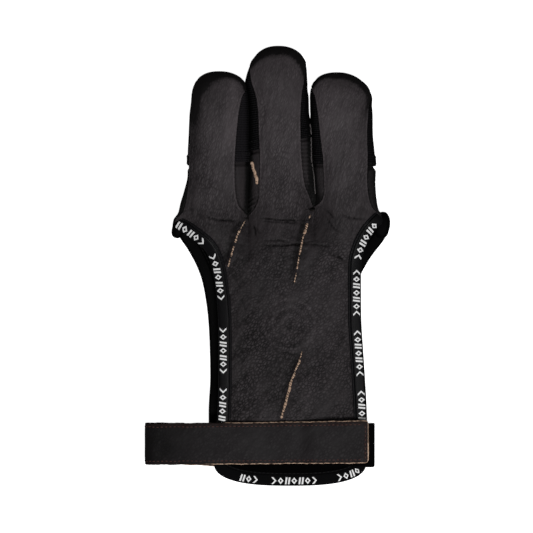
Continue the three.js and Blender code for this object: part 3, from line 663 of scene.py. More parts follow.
class Look:
    """A material with a Principled shader, and short names for the nodes that feed it."""

    def __init__(self, name, base, roughness):
        self.material = bpy.data.materials.new(name)
        self.material.use_nodes = True
        self.tree = self.material.node_tree
        self.shader = self.tree.nodes["Principled BSDF"]
        self.shader.inputs["Base Color"].default_value = base
        self.shader.inputs["Roughness"].default_value = roughness
        self.where = self.node("ShaderNodeTexCoord").outputs["Object"]
        self.height = None

    def node(self, kind, **values):
        made = self.tree.nodes.new(kind)
        for key, value in values.items():
            setattr(made, key, value)
        return made

    def link(self, source, target):
        self.tree.links.new(source, target)

    def stretched(self, vector, scale):
        mapping = self.node("ShaderNodeMapping")
        mapping.inputs["Scale"].default_value = scale
        self.link(vector, mapping.inputs["Vector"])
        return mapping.outputs["Vector"]

    def turned(self, vector, turn, scale):
        """Coordinates turned in the plane of the hand and then scaled."""
        turner = self.node("ShaderNodeVectorRotate", rotation_type="Z_AXIS")
        turner.inputs["Angle"].default_value = turn
        self.link(vector, turner.inputs["Vector"])
        return self.stretched(turner.outputs["Vector"], scale)

    def blend(self, share, a, b):
        made = self.node("ShaderNodeMix", data_type="FLOAT")
        self.link(share, made.inputs["Factor"])
        self.link(a, made.inputs["A"])
        self.link(b, made.inputs["B"])
        return made.outputs["Result"]

    def noise(self, vector, scale, detail=3.0, roughness=0.55):
        made = self.node("ShaderNodeTexNoise")
        made.inputs["Scale"].default_value = scale
        made.inputs["Detail"].default_value = detail
        made.inputs["Roughness"].default_value = roughness
        self.link(vector, made.inputs["Vector"])
        return made.outputs["Fac"]

    def cells(self, vector, scale, feature="DISTANCE_TO_EDGE"):
        made = self.node("ShaderNodeTexVoronoi", feature=feature)
        made.inputs["Scale"].default_value = scale
        self.link(vector, made.inputs["Vector"])
        return made.outputs["Distance"]

    def ramp(self, value, low, high, out_low=0.0, out_high=1.0):
        made = self.node("ShaderNodeMapRange")
        made.inputs["From Min"].default_value = low
        made.inputs["From Max"].default_value = high
        made.inputs["To Min"].default_value = out_low
        made.inputs["To Max"].default_value = out_high
        self.link(value, made.inputs["Value"])
        return made.outputs["Result"]

    def sum(self, a, b, operation="ADD"):
        made = self.node("ShaderNodeMath", operation=operation)
        for socket, value in zip(made.inputs, (a, b)):
            if isinstance(value, (int, float)):
                socket.default_value = value
            else:
                self.link(value, socket)
        return made.outputs["Value"]

    def tint(self, share, dark, light):
        """The base colour runs from one colour to another with a value. The first may be a tint."""
        made = self.node("ShaderNodeMix", data_type="RGBA")
        self.link(share, made.inputs["Factor"])
        if isinstance(dark, tuple):
            made.inputs["A"].default_value = dark
        else:
            self.link(dark, made.inputs["A"])
        made.inputs["B"].default_value = light
        self.link(made.outputs["Result"], self.shader.inputs["Base Color"])
        return made.outputs["Result"]

    def clamped(self, value):
        made = self.node("ShaderNodeClamp")
        self.link(value, made.inputs["Value"])
        return made.outputs["Result"]

    def bump(self, height, distance, strength=1.0):
        made = self.node("ShaderNodeBump")
        made.inputs["Distance"].default_value = distance
        made.inputs["Strength"].default_value = strength
        self.link(height, made.inputs["Height"])
        if self.height:
            self.link(self.height, made.inputs["Normal"])
        self.height = made.outputs["Normal"]
        self.link(self.height, self.shader.inputs["Normal"])

    def stored(self, name):
        """The three numbers that a piece stores at each point under a name."""
        attribute = self.node("ShaderNodeAttribute", attribute_name=name)
        parts = self.node("ShaderNodeSeparateXYZ")
        self.link(attribute.outputs["Vector"], parts.inputs["Vector"])
        return parts.outputs

    def specular(self, level):
        self.shader.inputs["Specular IOR Level"].default_value = level


def leather_look(name, dark, light, roughness, grain=1.0, border=None):
    """Pebbled leather: drawn-out cells with soft valleys, shallow folds and uneven dye.

    The stored shade is a tint, which holds rubs and stains as well as painted light, painted shade and
    painted highlights; how far the grain turns across; and how much it shines.
    A border is the colour that the stored stain's second number brings in."""
    look = Look(name, light, roughness)
    shade = look.stored("shade")

    scatter = look.node("ShaderNodeTexNoise")
    scatter.inputs["Scale"].default_value = 420
    look.link(look.where, scatter.inputs["Vector"])
    moved = look.node("ShaderNodeVectorMath", operation="SCALE")
    moved.inputs["Scale"].default_value = 0.0009
    look.link(scatter.outputs["Color"], moved.inputs[0])
    bent = look.node("ShaderNodeVectorMath", operation="ADD")
    look.link(look.where, bent.inputs[0])
    look.link(moved.outputs["Vector"], bent.inputs[1])
    place = bent.outputs["Vector"]

    lengthwise = look.cells(look.turned(place, 0.35, (1050, 340, 1050)), 1.0)
    diagonal = look.cells(look.turned(place, 0.75, (900, 520, 900)), 1.0)
    cell_lines = look.ramp(look.blend(shade["Y"], diagonal, lengthwise), 0.0, 0.34, 1.0, 0.0)
    grained = look.noise(look.turned(place, 0.3, (75, 40, 75)), 1.0, 2.0)
    grained = look.ramp(grained, 0.36, 0.62, 0.4, 1.0)
    pebbles = look.ramp(look.sum(cell_lines, grained, "MULTIPLY"), 0.0, 1.0, 1.0, 0.0)
    fold_long = look.noise(look.turned(place, 0.22, (330, 80, 330)), 1.0, 2.0, 0.5)
    fold_across = look.noise(look.turned(place, 0.75, (300, 110, 300)), 1.0, 2.0, 0.5)
    folds = look.ramp(look.blend(shade["Y"], fold_across, fold_long), 0.36, 0.64)

    look.bump(look.noise(look.where, 90, 2.0), 0.0006, 0.4 * grain)
    look.bump(folds, 0.0003, 0.8 * grain)
    look.bump(pebbles, 0.00013, 0.9 * grain)

    patches = look.ramp(look.noise(look.where, 45, 3.0), 0.3, 0.7, 0.4, 0.5)
    valleys = look.ramp(pebbles, 0.0, 0.8, -0.24 * grain, 0.03 * grain)
    level = look.ramp(grained, 0.4, 1.0, -0.03, 0.07)
    share = look.sum(look.sum(patches, valleys), look.ramp(folds, 0.0, 1.0, -0.06, 0.05))
    share = look.sum(look.sum(share, level), shade["X"])
    tinted = look.tint(look.clamped(share), dark, light)
    if border:
        look.tint(look.stored("stain")["Y"], tinted, border)
    dull = look.ramp(shade["Z"], 0.0, 1.3, 0.4, -0.06)
    rough = look.sum(look.ramp(pebbles, 0.0, 1.0, roughness + 0.2, roughness - 0.03), dull)
    look.link(rough, look.shader.inputs["Roughness"])
    look.specular(LEATHER_SHINE)
    return look.material


def suede_look(name, dark, light):
    """The raw flesh side and cut edges of leather, stained dark where the stored stain says."""
    look = Look(name, light, 0.95)
    fibres = look.noise(look.stretched(look.where, (1.0, 0.5, 1.0)), 1700, 5.0, 0.7)
    fresh = look.tint(look.ramp(fibres, 0.3, 0.7), dark, light)
    look.tint(look.stored("stain")["X"], fresh, STAINED)
    look.bump(fibres, 0.0002)
    look.specular(SUEDE_SHINE)
    return look.material


def woven_look(name, dark, light, roughness, rib_mm, thread_mm, depth, shine):
    """Cloth read from the stored millimetres, lengthwise and crosswise: ribs one way and threads the
    other. The stored shade is a tint, mostly painted light and painted shade, and how much rougher it is."""
    look = Look(name, light, roughness)
    cloth, shade = look.stored("cloth"), look.stored("shade")
    waves = []
    for socket, size in (("X", rib_mm), ("Y", thread_mm)):
        turned = look.sum(cloth[socket], 2 * math.pi / size, "MULTIPLY")
        sine = look.node("ShaderNodeMath", operation="SINE")
        look.link(turned, sine.inputs[0])
        waves.append(look.ramp(sine.outputs["Value"], -1.0, 1.0))
    weave = look.sum(look.sum(waves[0], 0.7, "MULTIPLY"), look.sum(waves[1], 0.45, "MULTIPLY"))
    fuzz = look.noise(look.where, 2600, 3.0)
    look.bump(look.sum(weave, look.sum(fuzz, 0.5, "MULTIPLY")), depth)
    share = look.sum(look.ramp(weave, 0.2, 1.0), look.ramp(fuzz, 0.3, 0.8, -0.25, 0.25))
    look.tint(look.clamped(look.sum(share, shade["X"])), dark, light)
    look.link(look.sum(shade["Y"], roughness), look.shader.inputs["Roughness"])
    look.specular(shine)
    return look.material


def knit_look(name, dark, light, roughness, cell, depth):
    """Plain knit or loop cloth: small rounded cells in rows."""
    look = Look(name, light, roughness)
    cells = look.cells(look.stretched(look.where, (1.0, 0.7, 1.0)), 1 / (cell * MM), "F1")
    loops = look.ramp(cells, 0.0, 0.7, 1.0, 0.0)
    fuzz = look.noise(look.where, 1800, 4.0)
    look.bump(look.sum(loops, look.sum(fuzz, 0.6, "MULTIPLY")), depth)
    share = look.sum(look.sum(loops, 0.6, "MULTIPLY"), look.sum(fuzz, 0.4, "MULTIPLY"))
    look.tint(share, dark, light)
    look.specular(KNIT_SHINE)
    return look.material


def plain_look(name, base, roughness, grain, depth):
    """Thread, print and other small trim."""
    look = Look(name, base, roughness)
    look.bump(look.noise(look.where, grain, 2.0), depth)
    return look.material


FRONT_LEATHER = leather_look("front_leather_look", colour(12, 9, 10), colour(95, 88, 91), 0.55)
# The stalls' sides and the front leather's cut walls: a darker copy of the front leather's colours, painted
# shade.
SIDE_LEATHER = leather_look("side_leather_look", colour(5, 4, 4), colour(55, 50, 52), 0.6, 0.8)
STRAP_LEATHER = leather_look("strap_leather_look", colour(7, 5, 6), colour(38, 34, 36), 0.55, 0.5,
                             colour(30, 15, 12))
SUEDE = suede_look("leather_flesh_side", colour(42, 36, 34), colour(78, 68, 62))
GREY_EDGE = suede_look("leather_grey_edge", colour(66, 62, 62), colour(112, 107, 107))
RAW_EDGE = suede_look("leather_raw_edge", colour(150, 112, 88), colour(236, 208, 184))
ELASTIC_CLOTH = woven_look("elastic_cloth", colour(1, 1, 1), colour(34, 32, 35),
                           0.8, 0.85, 0.7, 0.0002, 0.06)
TAPE_CLOTH = woven_look("binding_tape_cloth", colour(2, 2, 3), colour(30, 29, 32),
                        0.45, 0.45, 0.4, 0.00003, 0.15)
BACK_TAPE_CLOTH = woven_look("back_tape_cloth", colour(1, 1, 1), colour(5, 5, 6),
                             0.6, 0.45, 0.4, 0.00004, 0.04)
PANEL_CLOTH = knit_look("panel_cloth", colour(1, 1, 1), colour(5, 5, 6), 0.9, 0.55, 0.00012)
LOOP_CLOTH = knit_look("loop_tape_cloth", colour(1, 1, 1), colour(11, 11, 12), 0.95, 0.7, 0.0003)
PRINT = plain_look("white_print", colour(250, 250, 250), 0.6, 2500, 0.00002)
BLACK_THREAD = plain_look("black_thread", colour(5, 4, 4), 0.95, 3000, 0.00005)
BROWN_THREAD = plain_look("brown_thread", colour(70, 36, 29), 0.6, 3000, 0.00005)


# Small parts that follow a surface.
def tube_along(points, normals, radius, sides=6, flat=0.75):
    """A closed tube along a short path, a little flattened on the surface that it lies on."""
    points, normals = np.asarray(points, float), np.asarray(normals, float)
    tangent = unit(np.gradient(points, axis=0))
    across = unit(np.cross(tangent, normals))
    ends = np.ones(len(points))
    ends[0] = ends[-1] = 0.35
    angle = np.linspace(0, 2 * math.pi, sides, endpoint=False)
    size = (radius * ends)[:, None, None]
    ring = (
        across[:, None, :] * np.cos(angle)[None, :, None] * size
        + normals[:, None, :] * np.sin(angle)[None, :, None] * size * flat
    )
    body = (points[:, None, :] + ring).reshape(-1, 3)
    return np.vstack([body, points[0], points[-1]]), tube_faces(len(points), sides)


class Heap:
    """Many small meshes gathered into one object."""

    def __init__(self):
        self.points = []
        self.faces = []
        self.count = 0

    def add(self, points, faces):
        self.points.append(points)
        self.faces.append(faces + self.count)
        self.count += len(points)

    def make(self, name, material):
        faces = np.vstack(self.faces)
        make_object(name, np.vstack(self.points), faces, np.zeros(len(faces)), [material])


def resampled(points, step):
    """A path with its points a given distance apart."""
    lengths = path_lengths(points)
    count = max(2, int(round(lengths[-1] / step)) + 1)
    return values_at(np.linspace(0, lengths[-1], count), lengths, np.asarray(points))


# Each kind of stitch: the pitch, the length and the half thickness of the thread.
HEM_STITCH = (2.1, 1.5, 0.14)
TAPE_STITCH = (2.0, 1.4, 0.13)
PALM_STITCH = (2.2, 1.5, 0.15)
STRAP_STITCH = (2.0, 1.5, 0.19)
FIRST_STITCH = 0.4
STITCH_ARCH = np.array([-0.9, 0.35, 0.6, 0.35, -0.9])


def stitch_row(heap, path, normals, stitch):
    """Running stitches along a path: short threads that dip into the surface at both ends."""
    pitch, length, radius = stitch
    lengths = path_lengths(path)
    for start in np.arange(FIRST_STITCH, lengths[-1] - length, pitch):
        at = start + np.linspace(0, length, len(STITCH_ARCH))
        up = unit(values_at(at, lengths, normals))
        line = values_at(at, lengths, path) + up * (STITCH_ARCH * radius)[:, None]
        heap.add(*tube_along(line, up, radius))


# The base row of the front panel, from the index corner to the ring corner.
column_shares = np.arange(STALL_COLUMNS + 1) / STALL_COLUMNS
arc_shares = (1 - power(np.cos(math.pi * column_shares), 2 / SQUARE_BASE)) / 2
base_stops = [
    float(sheet_edge("front", "right", -INDEX_CORNER_DROP)),
    crotch_index,
    crotch_ring,
    float(sheet_edge("front", "left", -RING_CORNER_DROP)),
]
base_xs = np.concatenate(
    [[base_stops[0]]] + [mix(base_stops[f], base_stops[f + 1], arc_shares[1:]) for f in range(3)]
)


def palm_row(depth):
    """A row of the front panel at a depth below the fingers' base line."""
    count = len(base_xs) - 1
    fade = smooth(depth / KNUCKLE_FADE)
    y = -depth + base_line(base_xs) * (1 - fade)
    y_right = -depth - INDEX_CORNER_DROP * (1 - fade)
    y_left = -depth - RING_CORNER_DROP * (1 - fade)
    packed = (base_xs - base_stops[0]) / (base_stops[3] - base_stops[0])
    share = mix(packed, np.arange(count + 1) / count, fade)
    x = mix(sheet_edge("front", "right", y_right), sheet_edge("front", "left", y_left), share)
    return np.stack([x, y, front_height(x, y)], axis=-1)


SPREAD_STEPS = 240


def spread(finger, at, start, end, count):
    """Angles with equal steps along a stall's skin, and how far along the skin each one lies."""
    fine = np.linspace(start, end, SPREAD_STEPS)
    points = finger.point(at, fine)
    lengths = path_lengths(points)
    along = np.linspace(0, lengths[-1], count)
    return np.interp(along, lengths, fine), along


def angle_of(finger, at, angle, length):
    step = 0.02
    skin = np.linalg.norm(finger.point(at, angle) - finger.point(at, angle + step))
    return length * step / max(skin, 1e-3)


base_row = palm_row(0.0)
FAR = 99.0


def stall_row(finger, first, at):
    """One row across a stall's front, with each point's distance from the open seam."""
    right, left = finger.right_seam(at), finger.left_seam(at)
    by_length, along = spread(finger, at, right, left, STALL_COLUMNS + 1)
    angles = mix(mix(right, left, column_shares), by_length, smooth(at / BASE_BLEND))
    points = finger.point(at, angles)
    start = finger.point(0, mix(finger.right_seam(0), finger.left_seam(0), column_shares))
    offset = base_row[first:first + STALL_COLUMNS + 1] - start
    points = points + offset * (1 - smooth(at / BASE_BLEND))
    total = along[-1]
    return points, np.minimum(column_shares, 1 - column_shares) * total, offset


def front_sheet():
    sheet = Sheet()
    edges = []
    palm = []
    fine = np.linspace(0, PALM_FINE_DEPTH, int(PALM_FINE_DEPTH / PALM_FINE_STEP) + 1)
    rest = np.linspace(PALM_FINE_DEPTH, -leather_end, int((-leather_end - PALM_FINE_DEPTH) / PALM_STEP) + 1)
    for depth in np.concatenate([fine, rest[1:]]):
        palm.append(sheet.add(palm_row(depth)))
        edges.append(np.full(len(base_xs), FAR))
    sheet.join(palm, downward=True)
    for f, finger in enumerate(FINGERS):
        first = f * STALL_COLUMNS
        row = palm[0][first:first + STALL_COLUMNS + 1]
        rows = int(finger.length * CAP_FROM / STALL_STEP)
        for at in np.linspace(0, CAP_FROM, rows + 1)[1:]:
            points, edge, _ = stall_row(finger, first, at)
            numbers = sheet.add(points)
            edges.append(edge)
            sheet.strip(row, numbers)
            row = numbers
        back = math.pi * (1 + np.arange(1, CAP_COLUMNS) / CAP_COLUMNS)
        _, along = spread(finger, CAP_FROM, 0, math.pi, STALL_COLUMNS + 1)
        seam_edge = np.minimum(column_shares, 1 - column_shares) * along[-1]
        rim = sheet.add(finger.point(CAP_FROM, back))
        edges.append(np.zeros(len(back)))
        ring = np.concatenate([row, rim, row[:1]])
        turn_from = math.asin(((CAP_FROM - TIP_FROM) / (1 - TIP_FROM)) ** (TIP_ROUND / 2))
        for turn in np.linspace(turn_from, math.pi / 2, CAP_RINGS + 2)[1:-1]:
            at = TIP_FROM + (1 - TIP_FROM) * math.sin(turn) ** (2 / TIP_ROUND)
            front, _ = spread(finger, at, 0, math.pi, STALL_COLUMNS + 1)
            behind, _ = spread(finger, at, math.pi, 2 * math.pi, CAP_COLUMNS + 1)
            angles = np.concatenate([front, behind[1:-1]])
            numbers = sheet.add(finger.point(at, angles))
            past = (at - CAP_FROM) * finger.length
            edges.append(np.concatenate([np.maximum(seam_edge, past), np.full(len(behind) - 2, past)]))
            closed = np.concatenate([numbers, numbers[:1]])
            sheet.strip(ring, closed)
            ring = closed
        tip = sheet.add(finger.point(1.0, math.pi / 2))
        edges.append(np.full(1, FAR))
        sheet.strip(ring, np.full(len(ring), tip[0]))
    return sheet, np.concatenate(edges)


# Creases, in the frame's own millimetres: both ends, how far the middle bows, and the depth.
CREASES = [
    (-30.5, 23.6, -12.4, 21.2, -1.1, 0.55),
    (-27.0, 25.6, -15.0, 24.4, -0.8, 0.25),
    (-40.5, 24.6, -33.0, 26.2, 0.5, 0.3),
    (-6.2, 23.0, 18.4, 21.4, -0.9, 0.6),
    (-5.0, 21.4, 17.6, 20.2, -0.5, 0.35),
    (-4.4, 9.6, 25.6, 12.6, -1.4, 0.5),
    (-4.0, 11.6, 12.0, 11.0, 0.9, 0.3),
    (12.0, 9.8, 31.5, 9.2, 0.6, 0.3),
    (26.3, 27.0, 31.6, 21.2, 0.5, 0.5),
    (27.5, 23.5, 34.0, 15.5, -0.9, 0.4),
    (33.0, 24.6, 47.5, 22.2, -1.2, 0.4),
    (30.0, 5.1, 37.2, 2.2, 0.5, 0.45),
    (32.0, 1.6, 38.4, -1.2, 0.4, 0.25),
    (-6.6, 19.6, -5.0, 13.4, 0.4, 0.6),
    (-5.2, 18.4, -2.4, 14.6, -0.4, 0.3),
    (-10.0, 20.5, -13.0, 14.0, 0.4, 0.25),
    (2.0, -28.0, 22.0, -31.5, 1.2, 0.15),
    (-16.0, -8.0, -9.0, -24.0, 1.0, 0.15),
    (26.0, -20.0, 31.0, -36.0, -1.0, 0.15),
]
CREASE_WIDTH = 0.34
MOTIF_PIXEL = (290, 325)
MOTIF_RINGS = (4.0, 8.0, 11.8)
TUCK_TAPER = 0.1
TUCK_PUCKER = 3.1
SEAM_PUCKER = 1.9

tuck_paths = [tuck_path(tuck) for tuck in TUCKS]


def crease_lines(x, y):
    """How deep each place lies in a sharp crease, and the soft swell of the leather beside it."""
    wander_x = x + 0.3 * ripples(x, y, 5, 71)
    wander_y = y + 0.35 * ripples(x, y, 4, 72)
    sharp, soft = np.zeros(x.shape), np.zeros(x.shape)
    for x0, y0, x1, y1, bow, depth in CREASES:
        a, b = np.array([x0, y0]) - SHIFT[:2], np.array([x1, y1]) - SHIFT[:2]
        way = unit(b - a)
        middle = (a + b) / 2 + np.array([-way[1], way[0]]) * bow
        distance, _, along = along_path(spline([a, middle, b], 9), wander_x, wander_y)
        fade = smooth(np.minimum(along, 1 - along) / 0.3) * depth
        sharp = np.maximum(sharp, fade * hill(distance, 0, CREASE_WIDTH))
        soft += fade * (0.2 * hill(distance, 1.1, 0.7) - 0.15 * hill(distance, 0, 1.1))
    return sharp, soft


def finger_wrinkles(x, y):
    """Fine lengthwise wrinkles on the stalls, and a fan of short folds where each one starts."""
    on_finger = smooth((y - 2) / 14)
    lengthwise = ripples(x, y * 0.16, 2.6, 11, 9) * 0.05 + ripples(x, y * 0.28, 1.5, 12, 9) * 0.03
    total = on_finger * lengthwise
    for number, finger in enumerate(FINGERS):
        centre, half = finger.across(0.06)
        rng = np.random.default_rng(60 + number)
        for _ in range(7):
            side = rng.uniform(-0.75, 0.75)
            x0 = centre + half * side
            y0 = rng.uniform(-7, 4)
            reach = rng.uniform(6, 13)
            lean = side * rng.uniform(-0.28, 0.05)
            ends = [(x0, y0), (x0 + reach * lean * 0.5, y0 + reach / 2), (x0 + reach * lean, y0 + reach)]
            distance, _, along = along_path(spline(ends, 6), x, y)
            fade = smooth(np.minimum(along, 1 - along) / 0.4)
            total -= fade * rng.uniform(0.08, 0.2) * hill(distance, 0, rng.uniform(0.5, 0.9))
    return total


def tuck_relief(x, y):
    total = np.zeros(x.shape)
    for number, path in enumerate(tuck_paths):
        distance, side, along = along_path(path, x, y)
        fade = smooth(np.minimum(along, 1 - along) / TUCK_TAPER)
        ridge = 0.7 * hill(distance, 0.1, 0.75)
        gutter = -0.3 * hill(distance, 2.0, 0.9)
        phase = along * path_lengths(path)[-1] * 2 * math.pi / TUCK_PUCKER + number + side
        pucker = 0.1 * np.sin(phase) * np.exp(-distance / 3)
        slope = 0.25 * np.exp(-distance / 5) * side
        total += fade * (ridge + gutter + pucker + slope)
    return total


def motif_relief(x, y):
    """Faint embossed rings in the middle of the palm."""
    centre = photo_mm(*MOTIF_PIXEL)
    out = np.hypot(x - centre[0], y - centre[1])
    total = np.zeros(x.shape)
    for radius in MOTIF_RINGS:
        total -= 0.2 * hill(out, radius, 0.6)
    return total


def seam_pucker(x, y):
    """A wave between -1 and 1 where the seam's stitches draw the leather in."""
    return np.sin(y * 2 * math.pi / SEAM_PUCKER + ripples(x, y, 9, 15) * 3)


front, front_edge = front_sheet()


def front_relief(points, normals):
    """How far each place of the front leather lies out of its smooth shape."""
    x, y = points[:, 0], points[:, 1]
    upward = np.clip(normals[:, 2] * 2, 0, 1)
    pucker = 0.5 + 0.5 * seam_pucker(x, y)
    roll = -0.18 * (1 - smooth(front_edge / 0.5)) + 0.12 * pucker * hill(front_edge, 1.0, 0.8)
    gutter = -0.12 * hill(front_edge, 3.0, 0.5)
    soft = ripples(x, y, 26, 1) * 0.45 + ripples(x, y, 11, 2) * 0.16 + ripples(x, y, 4.5, 3) * 0.05
    sharp, swell = crease_lines(x, y)
    detail = swell - sharp + finger_wrinkles(x, y) + tuck_relief(x, y) + motif_relief(x, y)
    end = -0.3 * hill(y, leather_end, 1.2)
    return roll + gutter + (soft + detail) * upward + end


HEIGHT_CELL = 0.6
EMPTY = -1e9


def height_over(points):
    """A quick reader of a nearly level surface: the height near a place, from a grid of its points."""
    cell = HEIGHT_CELL
    low = points[:, :2].min(axis=0)
    size = np.ceil((points[:, :2].max(axis=0) - low) / cell).astype(int) + 2
    grid = np.full(size, EMPTY)
    where = ((points[:, :2] - low) / cell + 0.5).astype(int)
    np.maximum.at(grid, (where[:, 0], where[:, 1]), points[:, 2])
    known = grid > EMPTY / 10
    for _ in range(6):
        padded = np.pad(grid, 1, constant_values=EMPTY)
        near = np.stack([
            padded[1 + dx:padded.shape[0] - 1 + dx, 1 + dy:padded.shape[1] - 1 + dy]
            for dx in (-1, 0, 1) for dy in (-1, 0, 1)
        ])
        good = near > EMPTY / 10
        mean = np.where(good, near, 0).sum(axis=0) / np.maximum(good.sum(axis=0), 1)
        grid = np.where(known, grid, np.where(good.any(axis=0), mean, EMPTY))
        known = grid > EMPTY / 10

    def at(x, y):
        u = np.clip((np.asarray(x) - low[0]) / cell, 0, size[0] - 2.001)
        v = np.clip((np.asarray(y) - low[1]) / cell, 0, size[1] - 2.001)
        i, j = u.astype(int), v.astype(int)
        s, t = u - i, v - j
        return (
            grid[i, j] * (1 - s) * (1 - t) + grid[i + 1, j] * s * (1 - t)
            + grid[i, j + 1] * (1 - s) * t + grid[i + 1, j + 1] * s * t
        )

    return at


front_points, front_quads = front.arrays()
front_normals = normals_of(front_points, front_quads)
front_values = front_relief(front_points, front_normals)
front_outer = front_points + front_normals * front_values[:, None]
raised_side = front_normals[:, 2] > 0.2
front_surface = height_over(front_outer[raised_side])


def surface_normal(height, x, y):
    step = 0.5
    dx = (height(x + step, y) - height(x - step, y)) / (2 * step)
    dy = (height(x, y + step) - height(x, y - step)) / (2 * step)
    return unit(np.stack([-dx, -dy, np.ones_like(dx)], axis=-1))


# The painted shade round each stall, by the direction from its middle: 0 is its right side, 90 its tip and
# 180 its left side. It is full to the first depth, in millimetres, and fades out over the second.
TIP_SHADE_BANDS = {
    "ring": table("at full fade", [
        (0, 0.0, 1.0), (45, 0.3, 2.9), (90, 0.6, 4.5), (135, 1.7, 6.3), (180, 1.1, 4.8),
    ]),
    "middle": table("at full fade", [
        (0, 0.2, 2.4), (45, 1.0, 3.8), (90, 0.9, 4.4), (135, 0.6, 3.6), (180, 0.0, 0.5),
    ]),
    "index": table("at full fade", [
        (0, 0.5, 3.4), (45, 0.7, 3.8), (90, 0.6, 3.7), (135, 0.0, 2.0), (180, 0.0, 0.5),
    ]),
}
# How much paler or darker each stall is painted across its upper half, from its left side to its right:
# painted light and shade.
SIDE_LIGHT_AND_SHADE = table("at ring middle index", [
    (-1.0, -0.12, 0.16, 0.2), (-0.5, -0.06, 0.02, 0.1), (0.0, -0.06, 0.02, 0.02), (0.5, 0.2, 0.06, -0.06),
    (0.8, 0.06, 0.0, -0.16), (1.0, 0.0, -0.04, -0.2),
])


def painted_stall_shade(x, y):
    """How dark the painted shade is round each stall's tip, and the painted light and shade across its
    upper half.
    """
    dark, across = np.zeros(len(x)), np.zeros(len(x))
    for finger in FINGERS:
        at = np.clip(y / finger.length, 0, 1)
        centre, half = finger.across(at)
        side = (x - centre) / half
        beyond = np.clip((at - TIP_FROM) / (1 - TIP_FROM), 0, 1)
        out = (np.abs(side) ** TIP_ROUND + beyond ** TIP_ROUND) ** (1 / TIP_ROUND)
        inward = (1 - np.clip(out, 0, 1)) * half
        way = np.degrees(np.arctan2(beyond, side))
        bands = TIP_SHADE_BANDS[finger.name]
        band = 1 - smooth((inward - read(bands, "full", way)) / read(bands, "fade", way))
        mine = np.abs(side) < 1.02
        dark = np.where(mine, band * smooth((at - 0.6) / 0.2), dark)
        tint = read(SIDE_LIGHT_AND_SHADE, finger.name, np.clip(side, -1, 1)) * smooth((at - 0.35) / 0.3)
        across = np.where(mine, tint, across)
    return dark, across


def front_shade(points, normals):
    """Painted shade in creases, in the tucks' hollows, along the seam and its gutter and towards each
    stall's outline; painted highlights on rolled edges and on the palm's right; painted light and shade
    across the stalls' upper halves; and the fingers paler than the palm.
    The first number is the tint and the second the shine."""
    x, y = points[:, 0], points[:, 1]
    sharp, _ = crease_lines(x, y)
    fingers = smooth((y + 4) / 42)
    # Painted shade round each stall's tip, and painted light and shade across its upper half.
    dark, across = painted_stall_shade(x, y)
    # Painted shade down the ring stall's left side.
    ring_side = smooth((-x - 31) / 10) * smooth((y - 10) / 25) * 0.22
    # A painted highlight along the rolled edges, and painted shade at the seam's very edge and in the
    # gutter beside it.
    rolled = hill(front_edge, 0.3, 0.45) * 0.55 * (0.7 + 0.3 * seam_pucker(x, y))
    seam = (1 - smooth(front_edge / 0.15)) * 0.1
    gutter = hill(front_edge, 1.8, 0.5) * 0.05
    motif = np.clip(-motif_relief(x, y), 0, 1) * 0.6
    # Painted shade in the tucks' hollows.
    tucks = np.clip(-tuck_relief(x, y), 0, 1) * 0.4
    patchy = ripples(x, y, 15, 21) * 0.035
    # A broad painted highlight on the palm's right.
    painted_highlight_right = 0.08 * hill(x, 20, 9) * hill(y, -34, 18)
    knuckles = 0.06 * hill(y, 8, 15)
    # The palm is darker than the fingers, with random patches, a paler band over the knuckles and the
    # painted highlight on the palm's right.
    base_tone = 0.02 * fingers - 0.25 * (1 - fingers) + patchy + painted_highlight_right + knuckles
    # Creases are darkened with painted shade.
    tint = base_tone - sharp * 0.45 - dark - ring_side + across + rolled - seam - gutter + motif - tucks
    steep = smooth((0.75 - normals[:, 2]) / 0.6)
    shine = (1 + 0.25 * fingers) * (1 - 0.85 * dark) * (1 - 0.6 * steep)
    return tint, shine


points, faces, kinds, source = walled(front, LEATHER, front_values)
tint, shine = front_shade(front_points, front_normals)
shade = np.stack([tint, smooth((front_points[:, 1] + 18) / 22), shine], axis=-1)[source]
make_object("front_leather_skin", points, faces, kinds, [FRONT_LEATHER, SUEDE, SIDE_LEATHER],
            "front_leather", {"shade": shade})


# The backs of the stalls.
UNDERLAP = 1.6
BACK_COUNT = 72
ELASTIC_HEM = 5.0
# How much higher each elastic's hem lies at its stall's left and right side, in millimetres.
HEM_TILTS = {"ring": (2.4, 1.4), "middle": (-5.4, -0.6), "index": (-2.2, 1.1)}


def seam_sink(out):
    """How deep a back piece lies at a distance out from the leather's edge, or under it."""
    return mix(LEATHER + 0.25, 0.1, smooth((out + 0.35) / 1.6))


def hem_bulge(finger, at):
    """How deep the elastic lies. Its lower hem is folded, so it stands out there."""
    past = (at - finger.elastic_from) * finger.length
    thick = smooth(past / 0.5) * (1 - smooth((past - ELASTIC_HEM + 0.4) / 0.8))
    return 0.12 - 0.42 * thick + 0.12 * hill(past, ELASTIC_HEM, 0.5)


def under_elastic(finger, at):
    """How deep the channel's leather lies. It dips to pass under the elastic's hem."""
    past = (at - finger.elastic_from) * finger.length
    return (ELASTIC + CLEARANCE) * smooth((past + 2.4) / 2.1)


def hem_tilt(finger, side, at):
    """How far a place on a back piece slides along its stall, as a share of the stall's length."""
    left, right = HEM_TILTS[finger.name]
    fade = smooth(at / finger.elastic_from) * (1 - smooth((at - finger.elastic_from) / 0.35))
    return mix(left, right, (side + 1) / 2) / finger.length * fade


facing_y = np.linspace(-6, 72, 391)
MOST_CLOSING = 3.4


def side_line(finger, sign):
    """Where the visible side of a stall lies, left or right, along the glove."""
    base = finger.base_right if sign > 0 else finger.base_left
    place = np.clip((facing_y - base) / (finger.length - base), 0, 0.98)
    at = place - hem_tilt(finger, sign, place)
    centre, half = finger.across(place)
    sink = np.where(at < finger.elastic_from, under_elastic(finger, at), hem_bulge(finger, at)) + 0.1
    return centre + sign * (half * tip_round(place) - sink)


